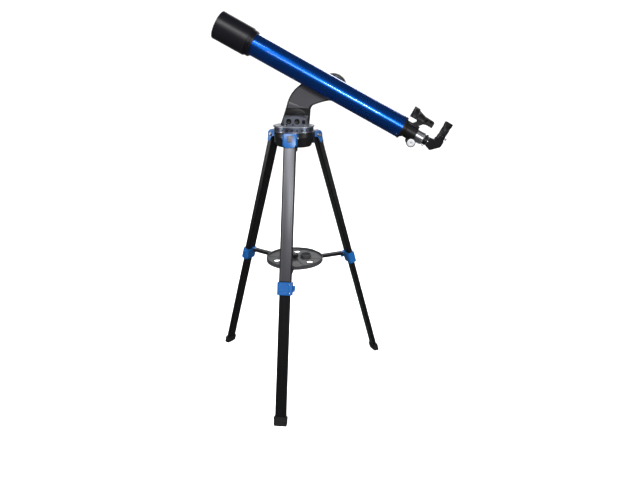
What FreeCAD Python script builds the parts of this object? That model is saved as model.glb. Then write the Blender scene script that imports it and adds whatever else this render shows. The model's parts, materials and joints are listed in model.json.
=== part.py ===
import FreeCAD, Part

import math
import os
from types import SimpleNamespace

import Sketcher

# A small refracting telescope on a motorised single-arm mount and a three-legged folding stand.
# Row frame: +Z up, origin on the ground under the azimuth axis, tube along X with its eye end
# at +X, front leg and viewer's side of the tube at -Y.  Lengths in millimetres, angles in degrees.

DIMENSIONS = {
    # stand
    "leg_length": 1255.4,
    "leg_lean": 16.6,
    "hinge_radius": 114.3,
    "upper_leg_length": 640.0,
    "upper_leg_width": 56.0,
    "upper_leg_depth": 27.0,
    "leg_wall": 1.6,
    "leg_slip": 0.35,
    "leg_play": 1.4,
    "lower_leg_hidden": 46.0,
    "clamp_start": 632.0,
    "clamp_length": 56.0,
    "clamp_wall": 6.0,
    "lever_length": 34.0,
    "lever_thick": 4.5,
    "lever_hub_radius": 4.6,
    "lever_slot": 18.0,
    "lever_pin_radius": 2.0,
    "foot_height": 34.0,
    "foot_wall": 4.5,
    "bracket_play": 0.5,
    "bracket_wall": 3.4,
    "bracket_round": 3.0,
    "bracket_height": 54.0,
    "bracket_top": 3.0,
    "knuckle_top": 8.0,
    "hinge_pin_radius": 4.0,
    "hinge_clearance": 0.06,
    # leg spreader and tray
    "lug_rise": 3.7,
    "strut_inner_radius": 62.0,
    "strut_width": 20.0,
    "strut_height": 15.0,
    "strut_wall": 2.5,
    "strut_pin_radius": 4.0,
    "lug_reach": 12.0,
    "lug_half": 8.0,
    "tray_radius": 138.0,
    "tray_floor": 3.0,
    "tray_lip": 10.0,
    "tray_rim_width": 5.0,
    "tray_gap": 0.5,
    "eyepiece_hole_radius": 16.0,
    "eyepiece_hole_circle": 92.0,
    "tray_notch_width": 30.0,
    "tray_knob_radius": 17.0,
    "cup_radius": 26.0,
    "cup_height": 14.0,
    # head and turntable
    "head_top_radius": 90.0,
    "head_bottom_radius": 82.0,
    "head_height": 66.0,
    "head_wall": 5.0,
    "head_above_hinge": 18.0,
    "bearing_gap": 0.5,
    "shaft_radius": 14.0,
    "bolt_radius": 5.0,
    "mount_knob_radius": 17.0,
    "mount_knob_height": 26.0,
    "ring_height": 18.0,
    "turntable_radius": 94.8,
    "turntable_height": 29.0,
    "turntable_plate": 7.0,
    "azimuth_gear_radius": 52.0,
    # arm
    "arm_front": 9.0,
    "arm_split": 24.0,
    "arm_back": 54.0,
    "arm_wall": 3.5,
    "arm_foot_left": 60.0,
    "arm_foot_right": 66.0,
    "arm_head_radius": 60.0,
    "head_lower_angle": -103.0,
    "head_upper_angle": 115.0,
    "throat_x": 71.5,
    "throat_height": 62.0,
    "throat_radius": 34.0,
    "under_radius": 300.0,
    "shoulder_x": 33.0,
    "shoulder_height": 180.0,
    "nape_radius": 260.0,
    "back_radius": 150.0,
    "waist_x": 31.0,
    "waist_height": 86.0,
    "gear_radius": 44.0,
    "gear_width": 9.0,
    "altitude_shaft_radius": 9.0,
    "altitude_x": 176.0,
    "altitude_height": 169.0,
    # control panel
    "panel_left": 34.0,
    "panel_right": 66.0,
    "panel_height": 44.0,
    "panel_front": 74.0,
    "panel_wall": 3.0,
    "socket_radius": 9.5,
    "switch_width": 9.0,
    "switch_height": 13.0,
    # tube
    "tube_angle": 27.8,
    "saddle_gap": 1.0,
    "tube_radius": 48.0,
    "tube_wall": 1.2,
    "tube_front": 399.0,
    "tube_rear": 357.0,
    "shield_step": 13.5,
    "shield_wall": 2.4,
    "shield_length": 150.0,
    "shield_rear": 402.0,
    "cell_step": 8.0,
    "cell_seat_step": 5.5,
    "cell_rear": 380.0,
    "cell_front": 420.0,
    "lens_radius": 45.0,
    "lens_gap": 0.15,
    "lens_curve": 330.0,
    "crown_thickness": 9.0,
    "flint_thickness": 5.0,
    "rear_band": 8.0,
    "rear_band_step": 1.4,
    "housing_radius": 33.0,
    "housing_length": 60.0,
    "slide_gap": 0.05,
    "drawtube_radius": 25.5,
    "drawtube_wall": 2.2,
    "drawtube_out": 97.0,
    "drawtube_in": 70.0,
    "rack_width": 8.0,
    "rack_height": 3.4,
    "gear_module": 1.0,
    "pinion_teeth": 14.0,
    "pinion_along": 56.0,
    "focus_shaft_radius": 3.0,
    "focus_knob_radius": 19.0,
    "focus_knob_width": 15.0,
    "focus_knob_gap": 1.0,
    "cover_depth": 9.0,
    "adapter_radius": 20.5,
    "adapter_length": 21.0,
    "barrel_radius": 15.85,
    "barrel_gap": 0.08,
    "barrel_wall": 1.6,
    "screw_radius": 1.6,
    "thumb_radius": 5.0,
    "thumb_length": 7.0,
    "diagonal_along": 162.0,
    "diagonal_half": 19.0,
    "diagonal_reach": 41.0,
    "diagonal_top": 34.0,
    "mirror_length": 26.0,
    "mirror_width": 24.0,
    "mirror_thickness": 2.0,
    "collar_radius": 18.6,
    "collar_top": 50.0,
    "eyepiece_length": 64.0,
    "eyepiece_radius": 17.0,
    "eyepiece_top_radius": 18.6,
    # finder
    "finder_width": 30.0,
    "finder_bottom": 58.0,
    "finder_front_height": 47.0,
    "finder_rear_height": 28.0,
    "finder_length": 106.0,
    "finder_wall": 2.5,
    "finder_hood": 26.0,
    # dovetail and saddle
    "dovetail_length": 190.0,
    "dovetail_width": 44.0,
    "dovetail_step": 10.0,
    "jaw_thick": 10.0,
    "jaw_length": 48.0,
    "jaw_start": -37.0,
    "jaw_drop": 51.5,
    "jaw_height": 9.0,
    "saddle_plate": 10.0,
    "saddle_length": 78.0,
    "saddle_start": -46.0,
    "clamp_knob_radius": 9.0,
    "clamp_knob_height": 12.0,
    "clamp_knob_stem": 7.0,
    "clamp_knob_pitch": 30.0,
    "clamp_knob_offset": -22.0,
}


class Size:
    """A length kept as sheet text and as its present value."""

    def __init__(self, text, value):
        self.text = text
        self.value = value

    @staticmethod
    def of(item):
        if isinstance(item, Size):
            return item
        return Size(repr(float(item)), float(item))

    def join(self, other, sign, value):
        return Size("(" + self.text + " " + sign + " " + other.text + ")", value)

    def __add__(self, other):
        other = Size.of(other)
        return self.join(other, "+", self.value + other.value)

    def __sub__(self, other):
        other = Size.of(other)
        return self.join(other, "-", self.value - other.value)

    def __mul__(self, other):
        other = Size.of(other)
        return self.join(other, "*", self.value * other.value)

    def __truediv__(self, other):
        other = Size.of(other)
        return self.join(other, "/", self.value / other.value)

    def __radd__(self, other):
        return Size.of(other) + self

    def __rsub__(self, other):
        return Size.of(other) - self

    def __rmul__(self, other):
        return Size.of(other) * self

    def __neg__(self):
        return Size("(0 - " + self.text + ")", -self.value)


def sine(angle):
    angle = Size.of(angle)
    return Size("sin(" + angle.text + " * 1 deg)", math.sin(math.radians(angle.value)))


def cosine(angle):
    angle = Size.of(angle)
    return Size("cos(" + angle.text + " * 1 deg)", math.cos(math.radians(angle.value)))


def root(size):
    size = Size.of(size)
    return Size("sqrt(" + size.text + ")", math.sqrt(size.value))


doc = FreeCAD.newDocument("telescope")
sheet = doc.addObject("Spreadsheet::Sheet", "Sizes")
for row, (alias, number) in enumerate(DIMENSIONS.items(), start=1):
    sheet.set("A" + str(row), alias)
    sheet.set("B" + str(row), str(number))
    sheet.setAlias("B" + str(row), alias)
doc.recompute()
d = SimpleNamespace(**{k: Size("Sizes." + k, v) for k, v in DIMENSIONS.items()})

SUBPARTS = []
ZERO = Size.of(0)
UP = FreeCAD.Vector(0, 0, 1)


class Frame:
    """A place and a turn that a sub-part is drawn in."""

    def __init__(self, x=ZERO, y=ZERO, z=ZERO, rotation=None):
        self.base = (Size.of(x), Size.of(y), Size.of(z))
        self.rotation = rotation or FreeCAD.Rotation()

    def shifted(self, x, y, z, rotation=None):
        """A frame moved along this frame's own axes, then turned by rotation."""
        matrix = self.rotation.toMatrix()
        rows = (matrix.A[0:3], matrix.A[4:7], matrix.A[8:11])
        step = (Size.of(x), Size.of(y), Size.of(z))
        base = []
        for start, row in zip(self.base, rows):
            total = start
            for size, share in zip(step, row):
                if abs(share) > 1e-12:
                    total = total + size * share
            base.append(total)
        turn = self.rotation
        if rotation is not None:
            turn = self.rotation.multiply(rotation)
        return Frame(base[0], base[1], base[2], turn)

    def place(self, thing):
        corner = FreeCAD.Vector(*[size.value for size in self.base])
        thing.Placement = FreeCAD.Placement(corner, self.rotation)
        for axis, size in zip("xyz", self.base):
            thing.setExpression("Placement.Base." + axis, size.text)


WORLD = Frame()


def turned(x_axis, y_axis):
    """The rotation whose local X and Y point along the two given directions."""
    x_axis = FreeCAD.Vector(*x_axis).normalize()
    y_axis = FreeCAD.Vector(*y_axis).normalize()
    z_axis = x_axis.cross(y_axis)
    return FreeCAD.Rotation(x_axis, y_axis, z_axis, "ZXY")


class Piece:
    """One PartDesign body, drawn in a frame of its own."""

    def __init__(self, label, frame=WORLD, keep=True):
        self.body = doc.addObject("PartDesign::Body", label)
        self.body.Label = label
        self.count = 0
        frame.place(self.body)
        if keep:
            SUBPARTS.append(self.body)

    def sketch(self, role, lift=ZERO):
        self.count += 1
        name = self.body.Label + "_outline_" + str(self.count)
        drawn = self.body.newObject("Sketcher::SketchObject", name)
        origin = [f for f in self.body.Origin.OriginFeatures if f.Role == role][0]
        drawn.AttachmentSupport = [(origin, "")]
        drawn.MapMode = "FlatFace"
        lift = Size.of(lift)
        drawn.AttachmentOffset = FreeCAD.Placement(UP * lift.value, FreeCAD.Rotation())
        drawn.setExpression("AttachmentOffset.Base.z", lift.text)
        return drawn

    def feature(self, kind, drawn, length=None, backwards=False):
        before = self.body.Shape.Volume if self.body.Tip else 0.0
        self.count += 1
        made = self.body.newObject(kind, self.body.Label + "_step_" + str(self.count))
        made.Profile = drawn
        if length is None:
            made.ReferenceAxis = (drawn, ["V_Axis"])
            made.Angle = 360.0
        else:
            made.setExpression("Length", length.text)
            made.Reversed = backwards
        drawn.Visibility = False
        doc.recompute([drawn, made, self.body])
        after = self.body.Shape.Volume
        cuts = kind.endswith(("Pocket", "Groove"))
        if (cuts and after >= before - 1e-6) or (not cuts and after <= before + 1e-6):
            raise RuntimeError(made.Label + " changes nothing")
        return made

    def pad(self, points, start, length):
        drawn = self.sketch("XY_Plane", start)
        draw(drawn, points)
        return self.feature("PartDesign::Pad", drawn, Size.of(length))

    def pocket(self, points, start, length):
        drawn = self.sketch("XY_Plane", start)
        draw(drawn, points)
        return self.feature("PartDesign::Pocket", drawn, Size.of(length), backwards=True)

    def revolve(self, points):
        drawn = self.sketch("XZ_Plane")
        draw(drawn, points)
        return self.feature("PartDesign::Revolution", drawn)

    def repeat(self, feature, times):
        self.count += 1
        before = self.body.Shape.Volume
        made = self.body.newObject("PartDesign::PolarPattern", self.body.Label + "_ring_" + str(self.count))
        made.Originals = [feature]
        made.Axis = (feature.Profile[0], ["N_Axis"])
        made.Angle = 360.0
        made.Occurrences = times
        self.body.Tip = made
        doc.recompute()
        if abs(self.body.Shape.Volume - before) < 1e-6:
            raise RuntimeError(made.Label + " changes nothing")
        return made

    def soften(self, radius, pick):
        """Round the edges that pick accepts."""
        tip = self.body.Tip
        names = ["Edge" + str(i) for i, e in enumerate(tip.Shape.Edges, start=1) if pick(e)]
        self.count += 1
        made = self.body.newObject("PartDesign::Fillet", self.body.Label + "_round_" + str(self.count))
        made.Base = (tip, names)
        made.setExpression("Radius", Size.of(radius).text)
        doc.recompute([made, self.body])
        return made


def upright(edge):
    """True for a straight edge along local Z."""
    if edge.Curve.TypeId != "Part::GeomLine":
        return False
    return abs(abs(edge.Curve.Direction.z) - 1) < 1e-6


def pin_point(drawn, geometry, end, x, y):
    """Tie one sketch point to the sheet."""
    for kind, axis, size in (("DistanceX", -2, x), ("DistanceY", -1, y)):
        if abs(size.value) < 1e-9:
            drawn.addConstraint(Sketcher.Constraint("PointOnObject", geometry, end, axis))
            continue
        if size.value > 0:
            rule = Sketcher.Constraint(kind, -1, 1, geometry, end, size.value)
        else:
            rule = Sketcher.Constraint(kind, geometry, end, -1, 1, -size.value)
            size = -size
        index = drawn.addConstraint(rule)
        drawn.setExpression("Constraints[" + str(index) + "]", size.text)


def draw(drawn, loops):
    """Draw closed loops: ("circle", x, y, radius) or a list of points.

    A point is (x, y), or (x, y, radius) where the side that leaves it is an arc, whose radius is
    positive when its centre lies to the left of the way round.
    """
    if isinstance(loops, tuple) or not isinstance(loops[0][0], (str, tuple, list)):
        loops = [loops]
    for loop in loops:
        if loop[0] == "circle":
            x, y, radius = (Size.of(v) for v in loop[1:])
            centre = FreeCAD.Vector(x.value, y.value, 0)
            index = drawn.addGeometry(Part.Circle(centre, UP, radius.value))
            pin_point(drawn, index, 3, x, y)
            rule = drawn.addConstraint(Sketcher.Constraint("Radius", index, radius.value))
            drawn.setExpression("Constraints[" + str(rule) + "]", radius.text)
            continue
        draw_loop(drawn, [tuple(Size.of(v) for v in point) for point in loop])


def draw_loop(drawn, points):
    ends = []
    for here, there in zip(points, points[1:] + points[:1]):
        a = FreeCAD.Vector(here[0].value, here[1].value, 0)
        b = FreeCAD.Vector(there[0].value, there[1].value, 0)
        if len(here) == 2:
            index = drawn.addGeometry(Part.LineSegment(a, b))
            ends.append((index, 1, 2))
            continue
        radius = here[2]
        size = abs(radius.value)
        half = (b - a).Length / 2
        rise = math.sqrt(max(size * size - half * half, 0.0))
        left = FreeCAD.Vector(-(b - a).y, (b - a).x, 0).normalize()
        side = 1 if radius.value > 0 else -1
        centre = (a + b) * 0.5 + left * rise * side
        start, stop = (a, b) if side > 0 else (b, a)
        first = math.atan2(start.y - centre.y, start.x - centre.x)
        last = math.atan2(stop.y - centre.y, stop.x - centre.x)
        if last < first:
            last += 2 * math.pi
        arc = Part.ArcOfCircle(Part.Circle(centre, UP, size), first, last)
        index = drawn.addGeometry(arc)
        ends.append((index, 1, 2) if side > 0 else (index, 2, 1))
        rule = drawn.addConstraint(Sketcher.Constraint("Radius", index, size))
        text = radius.text if side > 0 else (-radius).text
        drawn.setExpression("Constraints[" + str(rule) + "]", text)
    for point, side, after in zip(points, ends, ends[1:] + ends[:1]):
        drawn.addConstraint(Sketcher.Constraint("Coincident", side[0], side[2], after[0], after[1]))
        pin_point(drawn, side[0], side[1], point[0], point[1])


def rectangle(left, bottom, right, top):
    return [(left, bottom), (right, bottom), (right, top), (left, top)]


def slab(width, height, x=ZERO, y=ZERO):
    """A rectangle about a centre."""
    half, rise = Size.of(width) / 2, Size.of(height) / 2
    return rectangle(x - half, y - rise, x + half, y + rise)


def rod(name, radius, length, frame):
    """A Part cylinder along the frame's Z."""
    made = doc.addObject("Part::Cylinder", name)
    made.setExpression("Radius", Size.of(radius).text)
    made.setExpression("Height", Size.of(length).text)
    frame.place(made)
    return made


def block(name, sizes, frame):
    """A Part box whose corner is the frame's origin."""
    made = doc.addObject("Part::Box", name)
    for side, size in zip(("Length", "Width", "Height"), sizes):
        made.setExpression(side, Size.of(size).text)
    frame.place(made)
    return made


def ball(name, frame, radius):
    """A Part sphere about the frame's origin."""
    made = doc.addObject("Part::Sphere", name)
    made.setExpression("Radius", Size.of(radius).text)
    frame.place(made)
    return made


def common(name, shapes):
    """What the shapes share."""
    made = doc.addObject("Part::MultiCommon", name)
    made.Shapes = shapes
    return made


def carve(label, base, tools, keep=True):
    """Cut each tool from the base in turn."""
    for number, tool in enumerate(tools, start=1):
        cut = doc.addObject("Part::Cut", label + "_cut_" + str(number))
        cut.Base = base
        cut.Tool = tool
        base = cut
    base.Label = label
    if keep:
        SUBPARTS.append(base)
    return base


def weld(label, shapes, keep=True):
    made = doc.addObject("Part::MultiFuse", label)
    made.Shapes = shapes
    made.Label = label
    if keep:
        SUBPARTS.append(made)
    return made


def bundle(label, shapes):
    """Identical pieces that share one node as separate solids."""
    made = doc.addObject("Part::Compound", label)
    made.Links = shapes
    made.Label = label
    SUBPARTS.append(made)
    return made


# ------------------------------------------------------------------ derived places

hinge_height = d.leg_length * cosine(d.leg_lean)
head_top = hinge_height + d.head_above_hinge
turntable_base = head_top + d.bearing_gap
turntable_top = turntable_base + d.turntable_height
altitude_level = turntable_top + d.altitude_height
lower_width = d.upper_leg_width - 2 * (d.leg_wall + d.leg_play)
lower_depth = d.upper_leg_depth - 2 * (d.leg_wall + d.leg_play)
bracket_slot = d.upper_leg_width + 2 * d.bracket_play
strut_offset = d.upper_leg_depth / 2 + d.clamp_wall + d.lug_reach
strut_pivot_down = d.clamp_start - d.lug_rise
strut_level = hinge_height - strut_pivot_down * cosine(d.leg_lean) - strut_offset * sine(d.leg_lean)
cell_radius = d.tube_radius + d.cell_step
cell_seat = d.tube_radius + d.cell_seat_step
band_radius = d.tube_radius + d.rear_band_step
shield_radius = d.tube_radius + d.shield_step
dovetail_back = d.tube_radius + d.dovetail_step
saddle_back = dovetail_back + d.saddle_plate
tube_plane = d.arm_front + saddle_back + d.saddle_gap

LEAN = DIMENSIONS["leg_lean"]
LEG_TURNS = {"front": -90.0, "left": 150.0, "right": 30.0}
HOLE_TURNS = (90.0, 210.0, 330.0)


def out_frame(azimuth, radius, height):
    """A frame on a leg's upright plane: local X outward, local Z up."""
    turn = FreeCAD.Rotation(UP, azimuth)
    out = Size.of(radius)
    return Frame(out * cosine(azimuth), out * sine(azimuth), height, turn)


def leg_frame(azimuth):
    """At a hinge, with local Z down the leg, local X along the hinge pin and local Y outward."""
    frame = out_frame(azimuth, d.hinge_radius, hinge_height)
    outward = FreeCAD.Vector(math.cos(math.radians(azimuth)), math.sin(math.radians(azimuth)), 0)
    lean = math.radians(LEAN)
    down = outward * math.sin(lean) - UP * math.cos(lean)
    away = outward * math.cos(lean) + UP * math.sin(lean)
    along = away.cross(down)
    frame.rotation = FreeCAD.Rotation(along, away, down, "ZXY")
    return frame


def tube_frame():
    """On the altitude axis: local Z to the eye end, local X up across the tube, local Y to the viewer."""
    angle = math.radians(DIMENSIONS["tube_angle"])
    across = FreeCAD.Vector(math.sin(angle), 0, math.cos(angle))
    rear = FreeCAD.Vector(math.cos(angle), 0, -math.sin(angle))
    near = rear.cross(across)
    turn = FreeCAD.Rotation(across, near, rear, "ZXY")
    return Frame(d.altitude_x, -tube_plane, altitude_level, turn)


TUBE = tube_frame()
SIDEWAYS = turned((0, 0, 1), (1, 0, 0))  # from the tube's frame: X along it, Y up across, Z to the viewer
FACE = Frame(rotation=turned((1, 0, 0), (0, 0, 1)))  # local X to the right, Y up, Z to the viewer
ALONG_X = turned((0, 1, 0), (0, 0, 1))  # local Z along the frame's X
TURN_X = FreeCAD.Rotation(FreeCAD.Vector(1, 0, 0), 90)


# ------------------------------------------------------------------ stand


def hinge_parts():
    """Three forked brackets on the head and the pins that the legs turn on."""
    brackets = []
    pins = []
    for name, azimuth in LEG_TURNS.items():
        side = leg_frame(azimuth)
        piece = Piece("bracket_" + name, out_frame(azimuth, ZERO, hinge_height), keep=False)
        inner = d.head_top_radius + 1.0
        outer = d.hinge_radius + 16.0
        low = d.head_above_hinge - d.bracket_height
        wide = bracket_slot + 2 * d.bracket_wall + 2 * d.hinge_clearance
        piece.pad(slab(outer - inner, wide, (outer + inner) / 2), low, d.bracket_height)
        slot = bracket_slot + 2 * d.hinge_clearance
        gap = slab(outer - inner, slot, (outer + inner) / 2 + 6)
        piece.pocket(gap, low, d.bracket_height - d.bracket_top)
        piece.soften(
            d.bracket_round,
            lambda e: upright(e) and e.BoundBox.XMin > outer.value - 1
            and abs(e.BoundBox.YMin) > wide.value / 2 - 1,
        )
        start = side.shifted(-(wide / 2) - 1, ZERO, ZERO, ALONG_X)
        drill = rod("drill_" + name, d.hinge_pin_radius, wide + 2, start)
        cut = doc.addObject("Part::Cut", "bracket_cut_" + name)
        cut.Base = piece.body
        cut.Tool = drill
        brackets.append(cut)
        seat = side.shifted(-(wide / 2) - 2, ZERO, ZERO, ALONG_X)
        pins.append(rod("pin_" + name, d.hinge_pin_radius, wide + 4, seat))
    bundle("hinge_brackets", brackets)
    bundle("hinge_pins", pins)


def upper_leg(name, azimuth):
    """Rounded box section, with a solid knuckle that the hinge pin passes through."""
    piece = Piece("upper_leg_" + name, leg_frame(azimuth))
    piece.pad(slab(d.upper_leg_width, d.upper_leg_depth), -d.knuckle_top, d.upper_leg_length + d.knuckle_top)
    piece.soften(6.0, upright)
    hollow = slab(d.upper_leg_width - 2 * d.leg_wall, d.upper_leg_depth - 2 * d.leg_wall)
    piece.pocket(hollow, 24.0, d.upper_leg_length - 24)
    start = leg_frame(azimuth).shifted(-(d.upper_leg_width / 2) - 1, ZERO, ZERO, ALONG_X)
    drill = rod("bore_" + name, d.hinge_pin_radius + d.hinge_clearance, d.upper_leg_width + 2, start)
    SUBPARTS.remove(piece.body)
    piece.body.Label = "upper_leg_body_" + name
    carve("upper_leg_" + name, piece.body, [drill])


def leg_clamp(name, azimuth):
    """Collar over the end of the upper leg, with the lever's ears and the spreader's lug."""
    frame = leg_frame(azimuth)
    body = Piece("collar_" + name, frame, keep=False)
    outer_width = d.upper_leg_width + 2 * d.clamp_wall
    outer_depth = d.upper_leg_depth + 2 * d.clamp_wall
    body.pad(slab(outer_width, outer_depth), d.clamp_start, d.clamp_length)
    body.soften(8.0, upright)
    body.pocket(slab(d.upper_leg_width, d.upper_leg_depth), d.clamp_start, d.upper_leg_length - d.clamp_start)
    slide = slab(lower_width + 2 * d.leg_slip, lower_depth + 2 * d.leg_slip)
    body.pocket(slide, d.clamp_start, d.clamp_length)
    # lug for the spreader strut, on the inner side
    reach = outer_depth / 2
    down = strut_pivot_down
    half = d.lug_half
    lug = Piece("lug_" + name, frame, keep=False)
    lug.pad(rectangle(-half, -(reach + d.lug_reach + half - 2), half, 2 - reach), down - half, 2 * half)
    pin_start = frame.shifted(-(d.strut_width / 2), -(reach + d.lug_reach), down, ALONG_X)
    pin = rod("strut_pin_" + name, d.strut_pin_radius, d.strut_width, pin_start)
    # ears and pin for the lever
    ear = Piece("ear_" + name, frame, keep=False)
    middle = d.clamp_start + d.clamp_length / 2
    side = outer_width / 2
    slot = d.lever_slot
    ear.pad(rectangle(side - 3, -3.0, side + 10, 9.0), middle - slot / 2 - 4, slot + 8)
    ear.pocket(rectangle(side, -4.0, side + 11, 10.0), middle - slot / 2, slot)
    pivot = lever_place()
    lever_seat = frame.shifted(pivot[0], pivot[1], middle - slot / 2)
    lever_pin = rod("lever_pin_" + name, d.lever_pin_radius, slot, lever_seat)
    weld("leg_clamp_" + name, [body.body, lug.body, pin, ear.body, lever_pin])


def lever_place():
    """The lever's pin, in the leg's cross-section."""
    return d.upper_leg_width / 2 + d.clamp_wall + 5, Size.of(3.0)


def clamp_lever(name, azimuth):
    """Cam lever beside the clamp, on a pin along the leg."""
    x, y = lever_place()
    middle = d.clamp_start + d.clamp_length / 2
    gap = 0.3
    piece = Piece("clamp_lever_" + name, leg_frame(azimuth))
    hub = d.lever_hub_radius
    start, deep = middle - d.lever_slot / 2 + gap, d.lever_slot - 2 * gap
    piece.pad(("circle", x, y, hub), start, deep)
    inner = x - hub + 0.4
    outer = inner + d.lever_thick
    end = y - d.lever_length
    piece.pad([(inner, y), (inner, end), (outer + 2, end), (outer, end + 8), (outer, y)], start, deep)
    piece.pocket(("circle", x, y, d.lever_pin_radius + d.hinge_clearance), start - 1, deep + 2)


def lower_leg(name, azimuth):
    piece = Piece("lower_leg_" + name, leg_frame(azimuth))
    top = d.upper_leg_length - d.lower_leg_hidden
    bottom = d.leg_length - d.foot_height / 2
    piece.pad(slab(lower_width, lower_depth), top, bottom - top)
    piece.soften(5.0, upright)
    hollow = slab(lower_width - 2 * d.leg_wall, lower_depth - 2 * d.leg_wall)
    piece.pocket(hollow, top, bottom - top - 4)


def foot(name, azimuth):
    """Rubber boot over the lower leg, cut level with the ground."""
    frame = leg_frame(azimuth)
    boot = Piece("boot_" + name, frame, keep=False)
    width = lower_width + 2 * d.foot_wall
    depth = lower_depth + 2 * d.foot_wall
    boot.pad(slab(width, depth), d.leg_length - d.foot_height, d.foot_height + 20)
    boot.soften(7.0, upright)
    seat = slab(lower_width, lower_depth)
    boot.pocket(seat, d.leg_length - d.foot_height, d.foot_height / 2)
    out = d.hinge_radius + d.leg_length * sine(d.leg_lean)
    corner = out_frame(azimuth, out, ZERO).shifted(-80.0, -80.0, -80.0)
    ground = block("ground_" + name, (160.0, 160.0, 80.0), corner)
    carve("foot_" + name, boot.body, [ground])


def strut(name, azimuth):
    """Channel from the leg clamp to under the tray."""
    pivot = d.hinge_radius + strut_pivot_down * sine(d.leg_lean) - strut_offset * cosine(d.leg_lean)
    frame = out_frame(azimuth, ZERO, strut_level)
    piece = Piece("strut_body_" + name, frame, keep=False)
    outer = pivot + d.strut_pin_radius + 2
    span = outer - d.strut_inner_radius
    centre = (outer + d.strut_inner_radius) / 2
    wide = d.strut_width + 2 * d.strut_wall
    piece.pad(slab(span, wide, centre), -(d.strut_height / 2), d.strut_height)
    piece.soften(4.0, upright)
    open_end = d.strut_inner_radius + 8
    channel = rectangle(open_end, -(d.strut_width / 2), outer + 1, d.strut_width / 2)
    piece.pocket(channel, -(d.strut_height / 2), d.strut_height - d.strut_wall)
    fork = rectangle(pivot - 14, -(d.strut_width / 2), outer + 1, d.strut_width / 2)
    piece.pocket(fork, -(d.strut_height / 2), d.strut_height)
    start = out_frame(azimuth, pivot, strut_level)
    start = start.shifted(ZERO, wide / 2 + 1, ZERO, TURN_X)
    drill = rod("strut_drill_" + name, d.strut_pin_radius + d.hinge_clearance, wide + 2, start)
    carve("strut_" + name, piece.body, [drill])


def tray():
    """Round accessory tray with rim, notches for the struts, eyepiece holes and a raised cup."""
    floor_level = strut_level + d.strut_height / 2 + d.tray_gap
    piece = Piece("tray", Frame(z=floor_level))
    low = -(d.strut_height / 2)
    piece.revolve([
        (ZERO, ZERO), (d.tray_radius - d.tray_rim_width, ZERO), (d.tray_radius - d.tray_rim_width, low),
        (d.tray_radius, low), (d.tray_radius, d.tray_lip), (d.tray_radius - d.tray_rim_width, d.tray_lip),
        (d.tray_radius - d.tray_rim_width, d.tray_floor), (ZERO, d.tray_floor),
    ])
    for azimuth in LEG_TURNS.values():
        half = d.tray_notch_width / 2
        first = d.tray_radius - d.tray_rim_width - 1
        last = d.tray_radius + 1
        corners = [(first, -half), (last, -half), (last, half), (first, half)]
        turned_corners = [
            (x * cosine(azimuth) - y * sine(azimuth), x * sine(azimuth) + y * cosine(azimuth))
            for x, y in corners
        ]
        piece.pocket(turned_corners, low, -low)
    circle = d.eyepiece_hole_circle
    holes = [("circle", circle * cosine(a), circle * sine(a), d.eyepiece_hole_radius) for a in HOLE_TURNS]
    piece.pocket(holes, ZERO, d.tray_floor)
    cup = cup_place()
    piece.pad(("circle", cup[0], cup[1], d.cup_radius), d.tray_floor, d.cup_height)
    piece.pocket(("circle", cup[0], cup[1], d.cup_radius - 3), d.tray_floor + 2, d.cup_height - 2)
    knob = Piece("tray_knob", Frame(z=floor_level + d.tray_floor))
    r = d.tray_knob_radius
    knob.revolve([
        (ZERO, ZERO), (r * 0.55, ZERO), (r * 0.55, 5.0), (r, 6.0),
        (r, 17.0, 6.0), (r - 5, 21.0), (ZERO, 21.0),
    ])
    flute = knob.pocket(("circle", r + 2, ZERO, 4.0), 5.5, 17.0)
    knob.repeat(flute, 9)


def cup_place():
    return d.eyepiece_hole_circle * 0.62 * cosine(25.0), d.eyepiece_hole_circle * 0.62 * sine(25.0)


# ------------------------------------------------------------------ head, turntable and arm


def tripod_head():
    bottom = head_top - d.head_height
    piece = Piece("tripod_head", Frame(z=bottom))
    hub = d.shaft_radius + 8
    inside = d.head_top_radius - d.head_wall
    socket = d.shaft_radius + 1
    bolt_hole = d.bolt_radius + d.hinge_clearance
    piece.revolve([
        (bolt_hole, ZERO), (d.head_bottom_radius - 6, ZERO), (d.head_bottom_radius, 6.0),
        (d.head_top_radius, d.head_height - 22), (d.head_top_radius, d.head_height),
        (inside, d.head_height), (inside, d.head_height - 20),
        (d.head_bottom_radius - d.head_wall - 4, d.head_wall + 2), (hub, d.head_wall + 2),
        (hub, d.head_height - 9),
        (socket, d.head_height - 9), (socket, d.head_wall + 2), (bolt_hole, d.head_wall + 2),
    ])
    # bosses that carry the leg brackets
    for azimuth in LEG_TURNS.values():
        half = bracket_slot / 2 + d.bracket_wall
        first = d.head_bottom_radius - 12
        last = d.head_top_radius + 1
        corners = [(first, -half), (last, -half), (last, half), (first, half)]
        boss = [
            (x * cosine(azimuth) - y * sine(azimuth), x * sine(azimuth) + y * cosine(azimuth))
            for x, y in corners
        ]
        piece.pad(boss, d.head_height - d.bracket_height, d.bracket_height - 1)
    knob = Piece("mount_bolt_knob", Frame(z=bottom - d.mount_knob_height))
    r = d.mount_knob_radius
    knob.revolve([
        (ZERO, ZERO), (r - 2, ZERO), (r, 2.0), (r, d.mount_knob_height - 6),
        (r * 0.7, d.mount_knob_height - 0.3),
        (d.bolt_radius, d.mount_knob_height - 0.3), (d.bolt_radius, d.mount_knob_height + 20),
        (ZERO, d.mount_knob_height + 20),
    ])
    flute = knob.pocket(("circle", r + 2, ZERO, 4.0), ZERO, d.mount_knob_height - 6)
    knob.repeat(flute, 9)


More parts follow.
